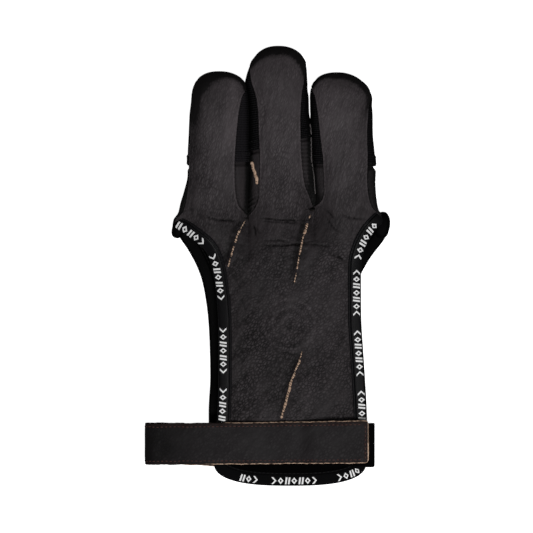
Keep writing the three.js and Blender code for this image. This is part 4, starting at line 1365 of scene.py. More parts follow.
def facing_shift(left_finger, right_finger, gap, reach, top=62):
    """How far two neighbours' facing sides each move, to leave no more than a gap, up to a top.

    At each place the widest gap within reach counts, and no side moves far."""
    between = side_line(right_finger, -1) - side_line(left_finger, 1)
    widest = np.max([np.roll(between, k) for k in range(-reach, reach + 1)], axis=0)
    move = np.clip(widest - gap, 0, MOST_CLOSING) / 2
    move = move * smooth((facing_y + 3) / 3) * smooth((top - facing_y) / 6)
    weights = hill(np.arange(-15, 16), 0, 5)
    return np.convolve(move, weights / weights.sum(), "same")


# The ring and middle stalls overlap a little. The middle and index stalls are parted above a height.
PARTED_FROM = 43.5
ring_side_shift = facing_shift(RING, MIDDLE, mix(-1.0, -0.35, smooth((facing_y - 2) / 6)), 7, 65.5)
index_side_shift = mix(
    facing_shift(MIDDLE, INDEX, -0.5, 6),
    facing_shift(MIDDLE, INDEX, 0.5, 1),
    smooth((facing_y - PARTED_FROM) / 5),
)
# Below the knuckle the line where they touch lies nearer to the index finger.
touch_aside = 0.8 * smooth((27 - facing_y) / 7) + 0.5 * smooth((16 - facing_y) / 6)
touch_aside = touch_aside * smooth((facing_y + 2) / 5)


def side_share(finger, x, y):
    """How far across a stall each place lies: -1 on its left outline and 1 on its right."""
    centre, half = finger.across(np.clip(y / finger.length, 0, 0.97))
    return (x - centre) / half


def closing(finger, points):
    """How far the facing sides move sideways, so that neighbouring stalls lie against each other."""
    y = points[:, 1]
    side = side_share(finger, points[:, 0], y)
    right, left = smooth((side - 0.72) / 0.22), smooth((-side - 0.75) / 0.2)
    ring_move = np.interp(y, facing_y, ring_side_shift)
    index_move = np.interp(y, facing_y, index_side_shift)
    aside = np.interp(y, facing_y, touch_aside)
    if finger is RING:
        return ring_move * right
    if finger is INDEX:
        return (aside - index_move) * left
    return (aside + index_move) * right - ring_move * left


def back_piece(finger, first, rows, sunk, cap_sink):
    """Rows of points round a stall's back, tucked under the front leather at both sides."""
    _, _, offset = stall_row(finger, first, 0.0)
    sheet = Sheet()
    cloth = []
    lines = []
    for at in rows:
        at = float(at)
        left, right = finger.left_seam(at), finger.right_seam(at)
        start = left - angle_of(finger, at, left, UNDERLAP)
        end = right + 2 * math.pi + angle_of(finger, at, right, UNDERLAP)
        angles, along = spread(finger, at, start, end, BACK_COUNT)
        out = np.minimum(along, along[-1] - along) - UNDERLAP
        place = at + hem_tilt(finger, np.cos(angles), at)
        normals = finger.normal(place, angles)
        sink = np.maximum(seam_sink(out), cap_sink(at)) + sunk(finger, at)
        blend = 1 - smooth(at / BASE_BLEND)
        near = np.exp(-np.clip(out, 0, None) / 2.5)[:, None] * blend
        half = len(angles) // 2
        shift = np.where((np.arange(len(angles)) < half)[:, None], offset[-1], offset[0])
        points = finger.point(place, angles) + shift * near - normals * sink[:, None]
        points[:, 0] += closing(finger, points)
        lines.append(sheet.add(points))
        cloth.append(np.stack([np.full(len(angles), at * finger.length), along, out], axis=-1))
    sheet.join(lines)
    return sheet, np.vstack(cloth)


def elastic_shade(finger, x, y, out):
    """The elastic lies in shade beside the seam, at the outline, and wherever a neighbour is close."""
    side = side_share(finger, x, y)
    lit = smooth((side - 0.3) / 0.3) if finger is RING else np.zeros_like(side)
    dark = 0.3 * (1 - lit) + 0.5 * smooth((np.abs(side) - 0.86) / 0.12) + 0.4 * (1 - smooth(out / 0.7))
    return np.stack([0.08 + 0.3 * lit - dark, 0 * x, 0 * x], axis=-1)


# How far apart the channels' cross ribs, the middle one's pleats and the index one's rows lie.
RIB_STEP = 1.9
PLEAT_STEP = 2.1
ROW_STEP = 1.5


def pleats(x, y, side):
    """The pleats of the middle finger's left channel in the crotch: where they are, and their wave."""
    window = smooth((y - 0.5) / 2) * smooth((11 - y) / 3) * smooth(-side * 4)
    return window, wave(y - 0.6 * x, PLEAT_STEP)


def channel_relief(finger, x, y, out):
    """Soft waves, fine cross ribs beside the seams, and pleats in the first crotch."""
    side = side_share(finger, x, y)
    total = ripples(x, y, 9, 31 + FINGERS.index(finger)) * 0.12
    ribs = 0.2 if finger is MIDDLE else 0.08
    total = total + ribs * wave(y, RIB_STEP) * np.exp(-out.clip(0) / 5) * smooth(side * 4)
    if finger is MIDDLE:
        window, folds = pleats(x, y, side)
        total = total + 0.4 * window * folds
    if finger is INDEX:
        total = total + 0.1 * wave(out, ROW_STEP) * smooth(side * 4)
    return total


def channel_shade(finger, x, y, out):
    """Painted shade: the channels are dark beside the seam, at the outline, on the outer sides, in the
    crotches and where two stalls meet, and their ribs and pleats are painted lighter on their crests.
    """
    side = side_share(finger, x, y)
    outer = side if finger is INDEX else -side if finger is RING else np.zeros_like(side)
    dark = 0.85 * smooth((np.abs(side) - 0.84) / 0.12)
    dark = np.maximum(dark, (0.5 if finger is INDEX else 0.7) * smooth((outer - 0.5) / 0.25))
    dark = dark + 0.5 * (1 - smooth((out - 0.1) / 1.0)) + 0.1 * ripples(x, y, 7, 35)
    crotch_side = -side if finger is INDEX else side if finger is MIDDLE else np.zeros_like(side)
    dark = dark + 0.5 * smooth((crotch_side - 0.5) / 0.3) * smooth((13 - y) / 5)
    dark = dark + 0.13 * smooth(crotch_side * 4)
    # Painted highlights on the ribs' crests; in the first crotch the pleats get painted shade with painted
    # highlights on their crests.
    level = 0.26 - dark + wave(y, RIB_STEP) * smooth(side * 4) * (0.12 if finger is MIDDLE else 0.04)
    if finger is MIDDLE:
        window, folds = pleats(x, y, side)
        level = level + window * (0.25 * folds - 0.2)
    ones = np.ones_like(x)
    return np.stack([level, ones, 0.8 * ones], axis=-1)


thread = Heap()
raw_edges = Heap()
side_surfaces = {finger.name: [] for finger in FINGERS}

for number, finger in enumerate(FINGERS):
    first = number * STALL_COLUMNS
    length = finger.length
    tuck_end = CAP_FROM + UNDERLAP / length
    lap_end = finger.elastic_from + ELASTIC_LAP / length

    def under_cap(at):
        return seam_sink((CAP_FROM - at) * length)

    count = int((tuck_end - finger.elastic_from) * length / CLOTH_STEP)
    rows = np.linspace(finger.elastic_from, tuck_end, count)
    sheet, cloth = back_piece(finger, first, rows, hem_bulge, under_cap)
    all_points, all_quads = sheet.arrays()
    shade = elastic_shade(finger, all_points[:, 0], all_points[:, 1], cloth[:, 2])
    points, faces, kinds, source = walled(sheet, ELASTIC, np.zeros(sheet.count))
    make_object(f"{finger.name}_elastic_cloth", points, faces, kinds, [ELASTIC_CLOTH] * 3,
                f"{finger.name}_elastic", {"cloth": cloth[source], "shade": shade[source]})

    # Two rows of stitches hold the elastic's hem.
    all_normals = normals_of(all_points, all_quads)
    side_surfaces[finger.name].append((all_points, all_normals))
    grid = all_points.reshape(len(rows), BACK_COUNT, 3)
    grid_normals = all_normals.reshape(len(rows), BACK_COUNT, 3)
    for past in (1.2, ELASTIC_HEM - 0.9):
        k = int(np.argmin(np.abs((rows - finger.elastic_from) * length - past)))
        stitch_row(thread, grid[k, 3:-3], grid_normals[k, 3:-3], HEM_STITCH)

    rows = np.linspace(0, lap_end, int(lap_end * length / CLOTH_STEP))
    sheet, cloth = back_piece(finger, first, rows, under_elastic, lambda at: 0.0)
    all_points, all_quads = sheet.arrays()
    x, y, out = all_points[:, 0], all_points[:, 1], cloth[:, 2]
    relief = channel_relief(finger, x, y, out)
    points, faces, kinds, source = walled(sheet, LEATHER, relief)
    shade = channel_shade(finger, x, y, out)[source]
    make_object(f"{finger.name}_channel_leather", points, faces, kinds,
                [SIDE_LEATHER, SUEDE, SIDE_LEATHER], f"{finger.name}_back_leather",
                {"shade": shade})
    all_normals = normals_of(all_points, all_quads)
    side_surfaces[finger.name].append((all_points + all_normals * relief[:, None], all_normals))


def nearest_on(surface, x, y):
    """The point of a surface's upper side that lies nearest under each place, and its normal."""
    points, normals = surface
    upper = normals[:, 2] > 0.05
    points, normals = points[upper], normals[upper]
    found = [int(np.argmin(np.hypot(points[:, 0] - a, points[:, 1] - b))) for a, b in zip(x, y)]
    return points[found], normals[found]


# A pale cut edge crosses the middle finger's left channel, sewn with dark thread.
CHANNEL_EDGE_PIXELS = [(251.6, 162.5), (253.6, 168), (255.8, 176), (257.6, 184)]
CHANNEL_EDGE_HALF = 0.72
CHANNEL_EDGE_COUNT = 34
EDGE_SIDES = 8
UP = [0.0, 0.0, 1.0]


def photo_line(pixels, count):
    """A smooth line through some places in the photograph."""
    return spline([photo_mm(*pixel) for pixel in pixels], count)


def ragged_widths(half, count, share, size, seed):
    """Half widths of a cut edge, which vary by a share along it."""
    return half * (1 + share * ripples(np.arange(count) * EDGE_STEP, 0, size, seed))


line = photo_line(CHANNEL_EDGE_PIXELS, CHANNEL_EDGE_COUNT)
seat, normals = nearest_on(side_surfaces["middle"][1], *line.T)
for _ in range(4):
    seat[1:-1] = (seat[:-2] + 2 * seat[1:-1] + seat[2:]) / 4
    normals[1:-1] = unit(normals[:-2] + 2 * normals[1:-1] + normals[2:])
widths = ragged_widths(CHANNEL_EDGE_HALF, CHANNEL_EDGE_COUNT, 0.3, 2.4, 120)
raw_edges.add(*tube_along(seat + normals * 0.25, normals, widths, EDGE_SIDES, 0.6))
way = unit(np.gradient(seat, axis=0))
for k in range(2, CHANNEL_EDGE_COUNT - 2, 4):
    across = unit(np.cross(normals[k], way[k]) + 0.5 * way[k])
    out = np.linspace(-0.9, 0.9, 7)[:, None]
    lift = 0.62 * hill(out, 0, 0.7)
    line = seat[k] + across * out + normals[k] * lift
    thread.add(*tube_along(line, np.tile(normals[k], (7, 1)), 0.15))

# A thin cut edge lies in the crease where the middle and index stalls touch.
TOUCH_PIXELS = [
    (309.9, 124), (311.1, 135), (311.1, 145), (311.2, 155),
    (311.9, 165), (313.5, 175), (314.3, 185), (315.1, 194),
]
TOUCH_HALF = 0.36
TOUCH_COUNT = 90
# How far round each place the stalls are searched for the crease's height, and how high it lies there.
TOUCH_NEAR = 0.6
TOUCH_PERCENTILE = 70

line = photo_line(TOUCH_PIXELS, TOUCH_COUNT)
nearby = [surface for name in ("middle", "index") for surface in side_surfaces[name]]
cloud = np.vstack([points[normals[:, 2] > 0.05] for points, normals in nearby])
heights = []
for place in line:
    near = np.abs(cloud[:, :2] - place).max(axis=1) < TOUCH_NEAR
    found = np.percentile(cloud[near, 2], TOUCH_PERCENTILE) if near.any() else FINGER_HEIGHT * WIDEST
    heights.append(found)
heights = np.convolve(np.pad(heights, 6, "edge"), np.ones(13) / 13, "valid")
line = np.column_stack([line, heights + TOUCH_HALF * 0.5])
widths = ragged_widths(TOUCH_HALF, TOUCH_COUNT, 0.25, 3.0, 121)
touching = Heap()
touching.add(*tube_along(line, np.tile(UP, (TOUCH_COUNT, 1)), widths, EDGE_SIDES, 0.8))
touching.make("stall_touching_edge", GREY_EDGE)


# The fabric panels.
def wrist_sheet():
    sheet = Sheet()
    count = len(base_xs) - 1
    across = np.arange(count + 1) / count
    start = leather_end + 2.5
    rows = []
    for share in np.linspace(0, 1, 30):
        y_side = mix(start, -side_end, share)
        x = mix(sheet_edge("front", "right", y_side), sheet_edge("front", "left", y_side), across)
        bow = np.maximum(0, hem_bow(2 * across - 1) - binding_lift)
        y = y_side - bow * share
        under = (LEATHER + 0.2) * smooth((y_side - leather_end + 1) / 1.5)
        rows.append(sheet.add(np.stack([x, y, front_height(x, y) - under], axis=-1)))
    sheet.join(rows, downward=True)
    return sheet


def back_sheet():
    sheet = Sheet()
    rows = []
    across = np.linspace(0, 1, 90)
    for share in np.linspace(-0.028, 1, 130):
        depth = share * back_end
        fade = smooth(depth / KNUCKLE_FADE)
        right = sheet_edge("back", "right", min(0, -depth) - INDEX_CORNER_DROP * (1 - fade))
        left = sheet_edge("back", "left", min(0, -depth) - RING_CORNER_DROP * (1 - fade))
        x = mix(right, left, across)
        bow = np.maximum(0, hem_bow(2 * across - 1) - binding_lift) * smooth((share - 0.7) / 0.3)
        y = (base_line(x) - 2 * CLEARANCE) * (1 - fade) - depth - bow
        lapped = 0.6 * smooth((y - base_line(x) + 1.5) / 2.5)
        rows.append(sheet.add(np.stack([x, y, back_height(y) + FABRIC + lapped], axis=-1)))
    sheet.join(rows, downward=True)
    return sheet


wrist = wrist_sheet()
points, faces, kinds, source = walled(wrist, FABRIC, np.zeros(wrist.count))
make_object("wrist_panel_cloth", points, faces, kinds, [PANEL_CLOTH] * 3, "wrist_panel")

back = back_sheet()
back_xy = back.arrays()[0]
points, faces, kinds, source = walled(back, FABRIC, ripples(back_xy[:, 0], back_xy[:, 1], 16, 41) * 0.25)
make_object("back_panel_cloth", points, faces, kinds, [PANEL_CLOTH] * 3, "back_panel")


# The tape round the open edges.
def edge_path(side, end, skip, past_left, past_right):
    """The sheet's edge: down the left side, along the bowed hem and up the right side."""
    left_y = np.linspace(-RING_CORNER_DROP - skip, -end, 200)
    right_y = np.linspace(-end, -INDEX_CORNER_DROP - skip, 200)
    left = np.stack([sheet_edge(side, "left", left_y), left_y], axis=-1)
    right = np.stack([sheet_edge(side, "right", right_y), right_y], axis=-1)
    turn = np.linspace(0, math.pi, 200)[1:-1]
    out = np.cos(turn)
    hem_x = mix(right[0, 0], left[-1, 0], (out + 1) / 2)
    hem_y = -end - np.maximum(0, hem_bow(out) - binding_lift)
    first = left[0] + unit(left[0] - left[4]) * past_left
    last = right[-1] + unit(right[-1] - right[-5]) * past_right
    path = resampled(np.vstack([first, left, np.stack([hem_x, hem_y], axis=-1), right, last]), TAPE_STEP)
    for _ in range(3):
        path[1:-1] = (path[:-2] + 2 * path[1:-1] + path[2:]) / 4
    return path


TAPE_FACE = 4.3
FLANGE_HEIGHT = 0.8


class Tape:
    """A folded tape whose section follows an edge. Its face is read by length and distance inward."""

    def __init__(self, path, height, wall, puff):
        self.path = path
        self.height = height
        self.wall = wall
        self.puff = puff
        tangent = unit(np.gradient(path, axis=0))
        inward = np.stack([-tangent[:, 1], tangent[:, 0]], axis=-1)
        for _ in range(10):
            inward[1:-1] = unit((inward[:-2] + 2 * inward[1:-1] + inward[2:]) / 4)
        self.inward = inward
        self.lengths = path_lengths(path)

    def place(self, length, distance, up):
        """A point over the sheet, and the sheet's upward direction there."""
        length, distance, up = np.broadcast_arrays(length, distance, up)
        edge = values_at(length, self.lengths, self.path)
        way = unit(values_at(length, self.lengths, self.inward))
        seat = edge + way * np.clip(distance, 0, None)[..., None]
        x, y = seat[..., 0], seat[..., 1]
        normal = surface_normal(self.height, x, y)
        point = np.concatenate([seat, self.height(x, y)[..., None]], axis=-1) + normal * up[..., None]
        beyond = np.clip(distance, None, 0)[..., None]
        point[..., :2] += way * beyond
        return point, normal

    def face_height(self, distance):
        """The height of the tape's upper face over the sheet."""
        half = TAPE_FACE / 2
        crown = np.clip(1 - ((np.clip(distance, 0, TAPE_FACE) - half) / half) ** 2, 0, 1)
        body = binding_lift + self.puff * crown ** 0.3
        return np.where(distance < TAPE_FACE, body, FLANGE_HEIGHT)

    def face(self, length, distance, lift=0.0):
        return self.place(length, distance, self.face_height(np.asarray(distance, float)) + lift)


def tape_section(wall, puff):
    """A tape's closed section: distances inward from the sheet's edge, and heights over the sheet."""
    inner = BINDING_WIDTH - binding_lift
    turn = np.linspace(0, math.pi, 15)
    half = TAPE_FACE / 2
    top = [(half + half * math.cos(a), binding_lift + puff * math.sin(a) ** 0.6) for a in turn]
    under = [(d, -wall - h) for d, h in reversed(top)]
    middle = -wall / 2
    radius = wall / 2 + binding_lift
    nose = [
        (-binding_lift * math.sin(a), middle + radius * math.cos(a))
        for a in np.linspace(0, math.pi, 9)[1:-1]
    ]
    ridge = TAPE_FACE + 0.3
    start = [
        (inner + 0.3, 0.04), (inner + 0.25, 0.36), (inner, FLANGE_HEIGHT),
        (inner - 0.3, FLANGE_HEIGHT + 0.04), (ridge, FLANGE_HEIGHT - 0.06),
        (ridge - 0.15, 0.34), (TAPE_FACE + 0.02, 0.4),
    ]
    end = [(d, -wall - h) for d, h in reversed(start)]
    slot = [(0.1, -wall - 0.06), (0.1, 0.06)]
    return np.array(start + top + nose + under + end + slot)


def make_tape(name, tape, look, node):
    """A tape's mesh: its section carried along the edge, with rounded ends."""
    section = tape_section(tape.wall, tape.puff)
    lengths = tape.lengths
    size = len(section)
    rounds = smooth(np.minimum(lengths, lengths[-1] - lengths) / 2.2 + 0.25)
    shrink = np.maximum(rounds, 0.3)[:, None]
    middle = -tape.wall / 2
    up = middle + (section[None, :, 1] - middle) * mix(0.55, 1, shrink)
    points, _ = tape.place(lengths[:, None], section[None, :, 0] * np.ones_like(shrink), up)
    everything = np.vstack([points.reshape(-1, 3), points[[0, -1]].mean(axis=1)])
    cloth = np.zeros((len(everything), 3))
    cloth[:-2, 0] = np.repeat(lengths, size)
    cloth[:-2, 1] = np.tile(path_lengths(section), len(lengths))
    shade = np.zeros((len(everything), 3))
    # The ridge beside the leather is painted paler than the printed face, a painted highlight, and the
    # tape's left side is painted paler, painted light; at the hem the tape is darker and rougher.
    shade[:-2, 0] = np.tile(np.where(section[:, 0] > TAPE_FACE + 0.1, -0.05, -0.42), len(lengths))
    at_hem = smooth((-tape.path[:, 1] - 112) / 4)
    lit_left = smooth((waist_left + 12 - tape.path[:, 0]) / 6)
    shade[:-2, 0] += np.repeat(0.12 * lit_left * (1 - at_hem) - 0.6 * at_hem, size)
    shade[:-2, 1] = np.repeat(0.5 * at_hem - 0.06 * lit_left * (1 - at_hem), size)
    faces = tube_faces(len(lengths), size)
    make_object(name, everything, faces, np.zeros(len(faces)), [look], node,
                {"cloth": cloth, "shade": shade})


front_tape = Tape(edge_path("front", side_end, 0.8, 0.9, 2.2), front_height, LEATHER, 0.35)
back_tape = Tape(
    edge_path("back", back_end, 0.8, 0.1, 0.1),
    lambda x, y: back_height(y) + FABRIC + 0 * x,
    FABRIC,
    0.15,
)
make_tape("front_tape", front_tape, TAPE_CLOTH, "front_binding")
make_tape("back_tape", back_tape, BACK_TAPE_CLOTH, "back_binding")

for tape in (front_tape, back_tape):
    at = np.arange(3, tape.lengths[-1] - 3, 0.6)
    points, normals = tape.place(at, np.full(at.shape, TAPE_FACE + 0.75), np.full(at.shape, FLANGE_HEIGHT))
    stitch_row(thread, points, normals, TAPE_STITCH)


# The tape's ends, folded over into rounded corners beside the fingers. Each is given by its middle
# as a pixel of the photograph, its half sizes and its turn.
TAPE_CORNERS = {
    "left_tape_corner": ((178.8, 226), (3.0, 5.9, 3.4), -0.3),
    "right_tape_corner": ((382.6, 225), (3.6, 6.2, 3.4), -0.1),
}
CORNER_HEIGHT = 3.6
CORNER_SIDES = 56
CORNER_RINGS = 31


def make_corner(name, pixel, size, turn):
    """A rounded lump of folded tape."""
    around = np.linspace(0, 2 * math.pi, CORNER_SIDES, endpoint=False)
    rise = np.linspace(-math.pi / 2, math.pi / 2, CORNER_RINGS + 2)[1:-1]
    middle = np.array([*photo_mm(*pixel), CORNER_HEIGHT])

    def skin(u, v):
        u, v = np.broadcast_arrays(u, v)
        flat = np.abs(np.cos(v)) ** 0.62
        x, y = power(np.cos(u), 0.85) * flat, power(np.sin(u), 0.85) * flat
        z = power(np.sin(v), 0.75)
        fold = 1 - 0.07 * hill(z, 0, 0.12) - 0.03 * hill(z, 0.45, 0.1) + 0.02 * np.sin(5 * u + 3 * z)
        x, y, z = x * size[0] * fold, y * size[1] * fold, z * size[2]
        return np.stack([
            x * math.cos(turn) - y * math.sin(turn), x * math.sin(turn) + y * math.cos(turn), z,
        ], axis=-1) + middle

    rings = skin(around[None, :], rise[:, None])
    points = np.vstack([rings.reshape(-1, 3), skin(0.0, -math.pi / 2), skin(0.0, math.pi / 2)])
    faces = tube_faces(CORNER_RINGS, CORNER_SIDES)
    cloth = np.stack([points[:, 1], points[:, 0] + points[:, 2], 0 * points[:, 0]], axis=-1)
    make_object(name, points, faces, np.zeros(len(faces)), [BACK_TAPE_CLOTH],
                attributes={"cloth": cloth})


for name, (pixel, size, turn) in TAPE_CORNERS.items():
    make_corner(name, pixel, size, turn)


# Generic white marks, printed on the tape: groups of chevrons, open diamonds and paired bars.
MARK_HEIGHT = 3.2
MARK_LOW = 0.06
MARK_STROKE = 0.82
MARK_STEP = 3.15
MARK_FINE = 4

# Where each group of marks starts, as a pixel of the photograph, with its first mark and its last.
# A group whose start or end lies under a fold or the strap is shorter.
MARK_GROUPS = [
    (178, 222, 2, 7), (209, 256, 0, 7), (220, 328, 0, 7), (219, 388, 0, 7), (238, 484, 4, 7),
    (272, 485, 0, 7), (337, 481, 0, 4), (364, 436, 0, 7), (361, 377, 0, 7), (359, 317, 0, 7),
    (357, 260, 0, 7),
]


def finely(corners):
    """The corners of a mark's side, with points added between them so that it follows the tape."""
    corners = np.asarray(corners, float)
    shares = np.linspace(0, 1, MARK_FINE, endpoint=False)[:, None]
    runs = [mix(a, b, shares) for a, b in zip(corners[:-1], corners[1:])]
    return np.vstack(runs + [corners[-1:]])


def mark_sides(kind):
    """The strips of one mark. Each is a pair of sides, given as length along and height across."""
    top, middle = MARK_HEIGHT, MARK_HEIGHT / 2
    if kind == "chevron":
        left = np.array([(0.1, 0), (1.6, middle), (0.1, top)])
        return [(left, left + [MARK_STROKE * 1.1, 0])]
    if kind == "bars":
        left = np.array([(0.1, 0), (0.55, top)])
        step = np.array([MARK_STROKE, 0])
        return [(left, left + step), (left + step * 1.7, left + step * 2.7)]
    centre = np.array([1.3, middle])
    outer = np.array([(1.3, 0), (2.6, middle), (1.3, top), (0, middle), (1.3, 0)])
    return [(centre + (outer - centre) * 0.42, outer)]


def add_mark(heap, tape, offset, left, right):
    """One strip of a mark, laid on the tape's face with a little thickness."""
    left, right = finely(left), finely(right)
    sides = [left, (left + right) / 2, right]
    laid = [tape.face(offset + side[:, 0], MARK_LOW + side[:, 1], 0.04) for side in sides]
    top = np.stack([point for point, _ in laid])
    below = top - np.stack([normal for _, normal in laid]) * 0.08
    count = top.shape[1]
    number = np.arange(3 * count).reshape(3, count)
    quads = np.stack([number[:-1, :-1], number[1:, :-1], number[1:, 1:], number[:-1, 1:]], axis=-1)
    quads = quads.reshape(-1, 4)
    corners = top.reshape(-1, 3)
    a, b, c = (corners[quads[0, k]] for k in range(3))
    if np.cross(b - a, c - a)[2] < 0:
        quads = quads[:, ::-1]
    edge_a, edge_b = open_edges(quads, 3 * count)
    walls = np.stack([edge_b, edge_a, edge_a + 3 * count, edge_b + 3 * count], axis=1)
    everything = np.vstack([corners, below.reshape(-1, 3)])
    heap.add(everything, np.vstack([quads, quads[:, ::-1] + 3 * count, walls]))


marks = Heap()
MARK_KINDS = ["chevron", "diamond", "bars", "diamond", "bars", "diamond", "chevron"]
for pixel_x, pixel_y, first_mark, last_mark in MARK_GROUPS:
    away = np.linalg.norm(front_tape.path - photo_mm(pixel_x, pixel_y), axis=1)
    start = front_tape.lengths[int(np.argmin(away))]
    for number in range(first_mark, last_mark):
        offset = start + (number - first_mark) * MARK_STEP
        if offset + MARK_STEP > front_tape.lengths[-1] - 1.5:
            continue
        for left, right in mark_sides(MARK_KINDS[number]):
            add_mark(marks, front_tape, offset, left, right)
marks.make("tape_marks", PRINT)


# Tucks: a pale cut edge stands on each in broken lengths, crossed by dark thread.
# Each length is given by the shares of the tuck where it starts and ends, and its half width.
TUCK_EDGES = [
    [(0.0, 0.2, 0.26), (0.22, 0.5, 0.52), (0.57, 0.8, 0.4), (0.82, 1.0, 0.26)],
    [(0.0, 0.07, 0.3), (0.13, 0.3, 0.62), (0.3, 0.6, 0.38), (0.62, 0.8, 0.32), (0.85, 1.0, 0.24)],
    [(0.0, 0.1, 0.22), (0.1, 0.3, 0.46), (0.31, 0.98, 0.55)],
]
THREAD_PITCH = 1.25


def on_front(x, y):
    point = np.stack([x, y, front_surface(x, y)], axis=-1)
    return point, surface_normal(front_surface, x, y)


for number, (path, edges) in enumerate(zip(tuck_paths, TUCK_EDGES)):
    rng = np.random.default_rng(90 + number)
    fine_path = resampled(path, EDGE_STEP)
    for start, end, half in edges:
        piece = fine_path[int(start * len(fine_path)):int(end * len(fine_path))]
        count = len(piece)
        run = np.arange(count) * EDGE_STEP
        ragged = ripples(run, 3.0 * start, 2.2, 100 + number)
        sway = ripples(run, 5.0 * end, 4.0, 110 + number)
        way = unit(np.gradient(piece, axis=0))
        across = np.stack([-way[:, 1], way[:, 0]], axis=-1)
        piece = piece + across * (sway * 0.25)[:, None]
        seat, normal = on_front(piece[:, 0], piece[:, 1])
        widths = half * np.clip(1 + 0.6 * ragged, 0.4, 1.6)
        raw_edges.add(*tube_along(seat + normal * 0.05, normal, widths, EDGE_SIDES, 0.7))
        for at in np.arange(0.8, count * EDGE_STEP - 0.5, THREAD_PITCH):
            k = min(count - 1, int((at + rng.uniform(-0.25, 0.25)) / EDGE_STEP))
            slant = unit(across[k] + way[k] * rng.uniform(0.1, 0.8))
            out = np.linspace(-half - 0.4, half + 0.4, 7)
            x, y = piece[k, 0] + slant[0] * out, piece[k, 1] + slant[1] * out
            seat, normal = on_front(x, y)
            lift = (0.5 * half + 0.2) * hill(out, 0, half + 0.1)
            thread.add(*tube_along(seat + normal * lift[:, None], normal, 0.17))
raw_edges.make("tuck_raw_edges", RAW_EDGE)


# A stitched line holds the leather's lower edge, just above the strap.
line_y = strap_top + 2.3
line_x = np.linspace(edge_left("front", line_y) + 7, edge_right("front", line_y) - 7, 120)
line, normals = on_front(line_x, np.full(120, line_y))
stitch_row(thread, line, normals, PALM_STITCH)


# The strap and the tab. The stitches follow two of the upper face's columns.
CUT_EDGE = 0.5
STRAP_COLUMNS = 28
STITCH_INSET = (2, 25)
TAB_COLUMNS = 24


def run_height():
    left, right = edge_left("front", strap_middle), edge_right("front", strap_middle)
    highest = 0.0
    for share in np.arange(0, 1.0001, 0.05):
        x = mix(left, right, share)
        lift = binding_lift if min(x - left, right - x) <= BINDING_WIDTH else 0
        highest = max(highest, float(front_height(np.array(x), np.array(strap_middle))) + lift)
    return highest + CLEARANCE


strap_run_z = run_height()
tab_inner_x = strap_end_x - TAB_OVERLAP


def along_run(x):
    return (x - strap_fold_x) / STRAP_RUN


def strap_y(x, z):
    front_run = strap_middle + STRAP_TILT * (along_run(x) - 0.5)
    back_run = front_run - STRAP_SKEW * np.clip(2.2 * along_run(x), 0, 1)
    return mix(back_run, front_run, smooth(z / FOLD_HEIGHT))


def tab_y(x, z):
    return strap_y(x, z) - TAB_DROP * smooth(z / FOLD_HEIGHT)


def arc(cx, cz, radius, start, end, steps):
    angle = np.linspace(start, end, steps + 1)
    return np.stack([cx + radius * np.cos(angle), cz + radius * np.sin(angle)], axis=-1)


def band_grid(path, width, middle_y, section, corner, relief=None, waver=None):
    """Points of a band: stations along a path in the XZ plane, and a section across each."""
    along = unit(np.gradient(path, axis=0))
    normal = np.stack([-along[:, 1], along[:, 0]], axis=-1)
    lengths = path_lengths(path)
    from_end = np.minimum(lengths, lengths[-1] - lengths)
    narrow = corner - np.sqrt(np.clip(corner ** 2 - np.clip(corner - from_end, 0, corner) ** 2, 0, None))
    half = width / 2
    v = section[None, :, 0] * ((half - narrow) / half)[:, None]
    h = np.tile(section[None, :, 1], (len(path), 1)) * np.where(from_end < 0.3, 0.75, 1.0)[:, None]
    if relief is not None:
        h = h + relief(lengths[:, None], v)
    if waver is not None:
        v = v + waver(lengths[:, None], v) * smooth((np.abs(v) / half - 0.6) / 0.3)
    y = middle_y(path[:, 0], path[:, 1])
    points = np.stack([
        path[:, None, 0] + normal[:, None, 0] * h,
        y[:, None] + v,
        path[:, None, 1] + normal[:, None, 1] * h,
    ], axis=-1)
    normals = np.stack([normal[:, 0], np.zeros(len(path)), normal[:, 1]], axis=-1)
    return points, normals, lengths


def band_mesh(points):
    """A band's points, with one for each closed end, and its faces."""
    stations, size = points.shape[:2]
    caps = points[[0, -1]].mean(axis=1)
    return np.vstack([points.reshape(-1, 3), caps]), tube_faces(stations, size)


def band_section(width, thickness, round_in, columns):
    """Across a band: the upper face, one cut edge, the under face and the other cut edge."""
    half, top = width / 2, thickness / 2
    flat = np.linspace(half - round_in, -half + round_in, columns)
    corner = half - round_in * 0.3
    edge = [(corner, top - 0.1), (half, top - 0.45), (half, -top + 0.45), (corner, -top + 0.1)]
    upper = [(v, top) for v in flat]
    left = [(-v, h) for v, h in edge]
    lower = [(v, -top) for v in flat[::-1]]
    right = [(v, h) for v, h in reversed(edge)]
    section = np.array(upper + left + lower + right)
    kinds = np.array(
        [0] * (columns - 1) + [2] * (len(left) + 1) + [1] * (columns - 1) + [2] * (len(right) + 1)
    )
    return section, kinds


def strap_path():
    half = STRAP_THICKNESS / 2
    radius = FOLD_HEIGHT / 2 - half
    fold_x = strap_fold_x + radius + half
    wrist_x = edge_left("front", strap_middle)
    over_tab = TAB_THICKNESS + CLEARANCE
    rise_start = tab_inner_x - RISE_CLEARANCE - RISE_LENGTH
    risen_x = wrist_x - RISE_CLEARANCE
    x = np.linspace(fold_x, strap_end_x, 160)[1:]
    risen = mix(FOLD_HEIGHT - half, strap_run_z + half, smooth((x - fold_x) / (risen_x - fold_x)))
    z = risen + over_tab * smooth((x - rise_start) / RISE_LENGTH)
    start = np.array([[tab_inner_x - CLEARANCE, half]])
    fold = arc(fold_x, half + radius, radius, -math.pi / 2, -3 * math.pi / 2, 40)
    path = resampled(np.vstack([start, fold, np.stack([x, z], axis=-1)]), BAND_STEP)
    back_off = unit(path[-1] - path[-2]) * CUT_EDGE
    return np.insert(path, -1, path[-1] - back_off, axis=0)


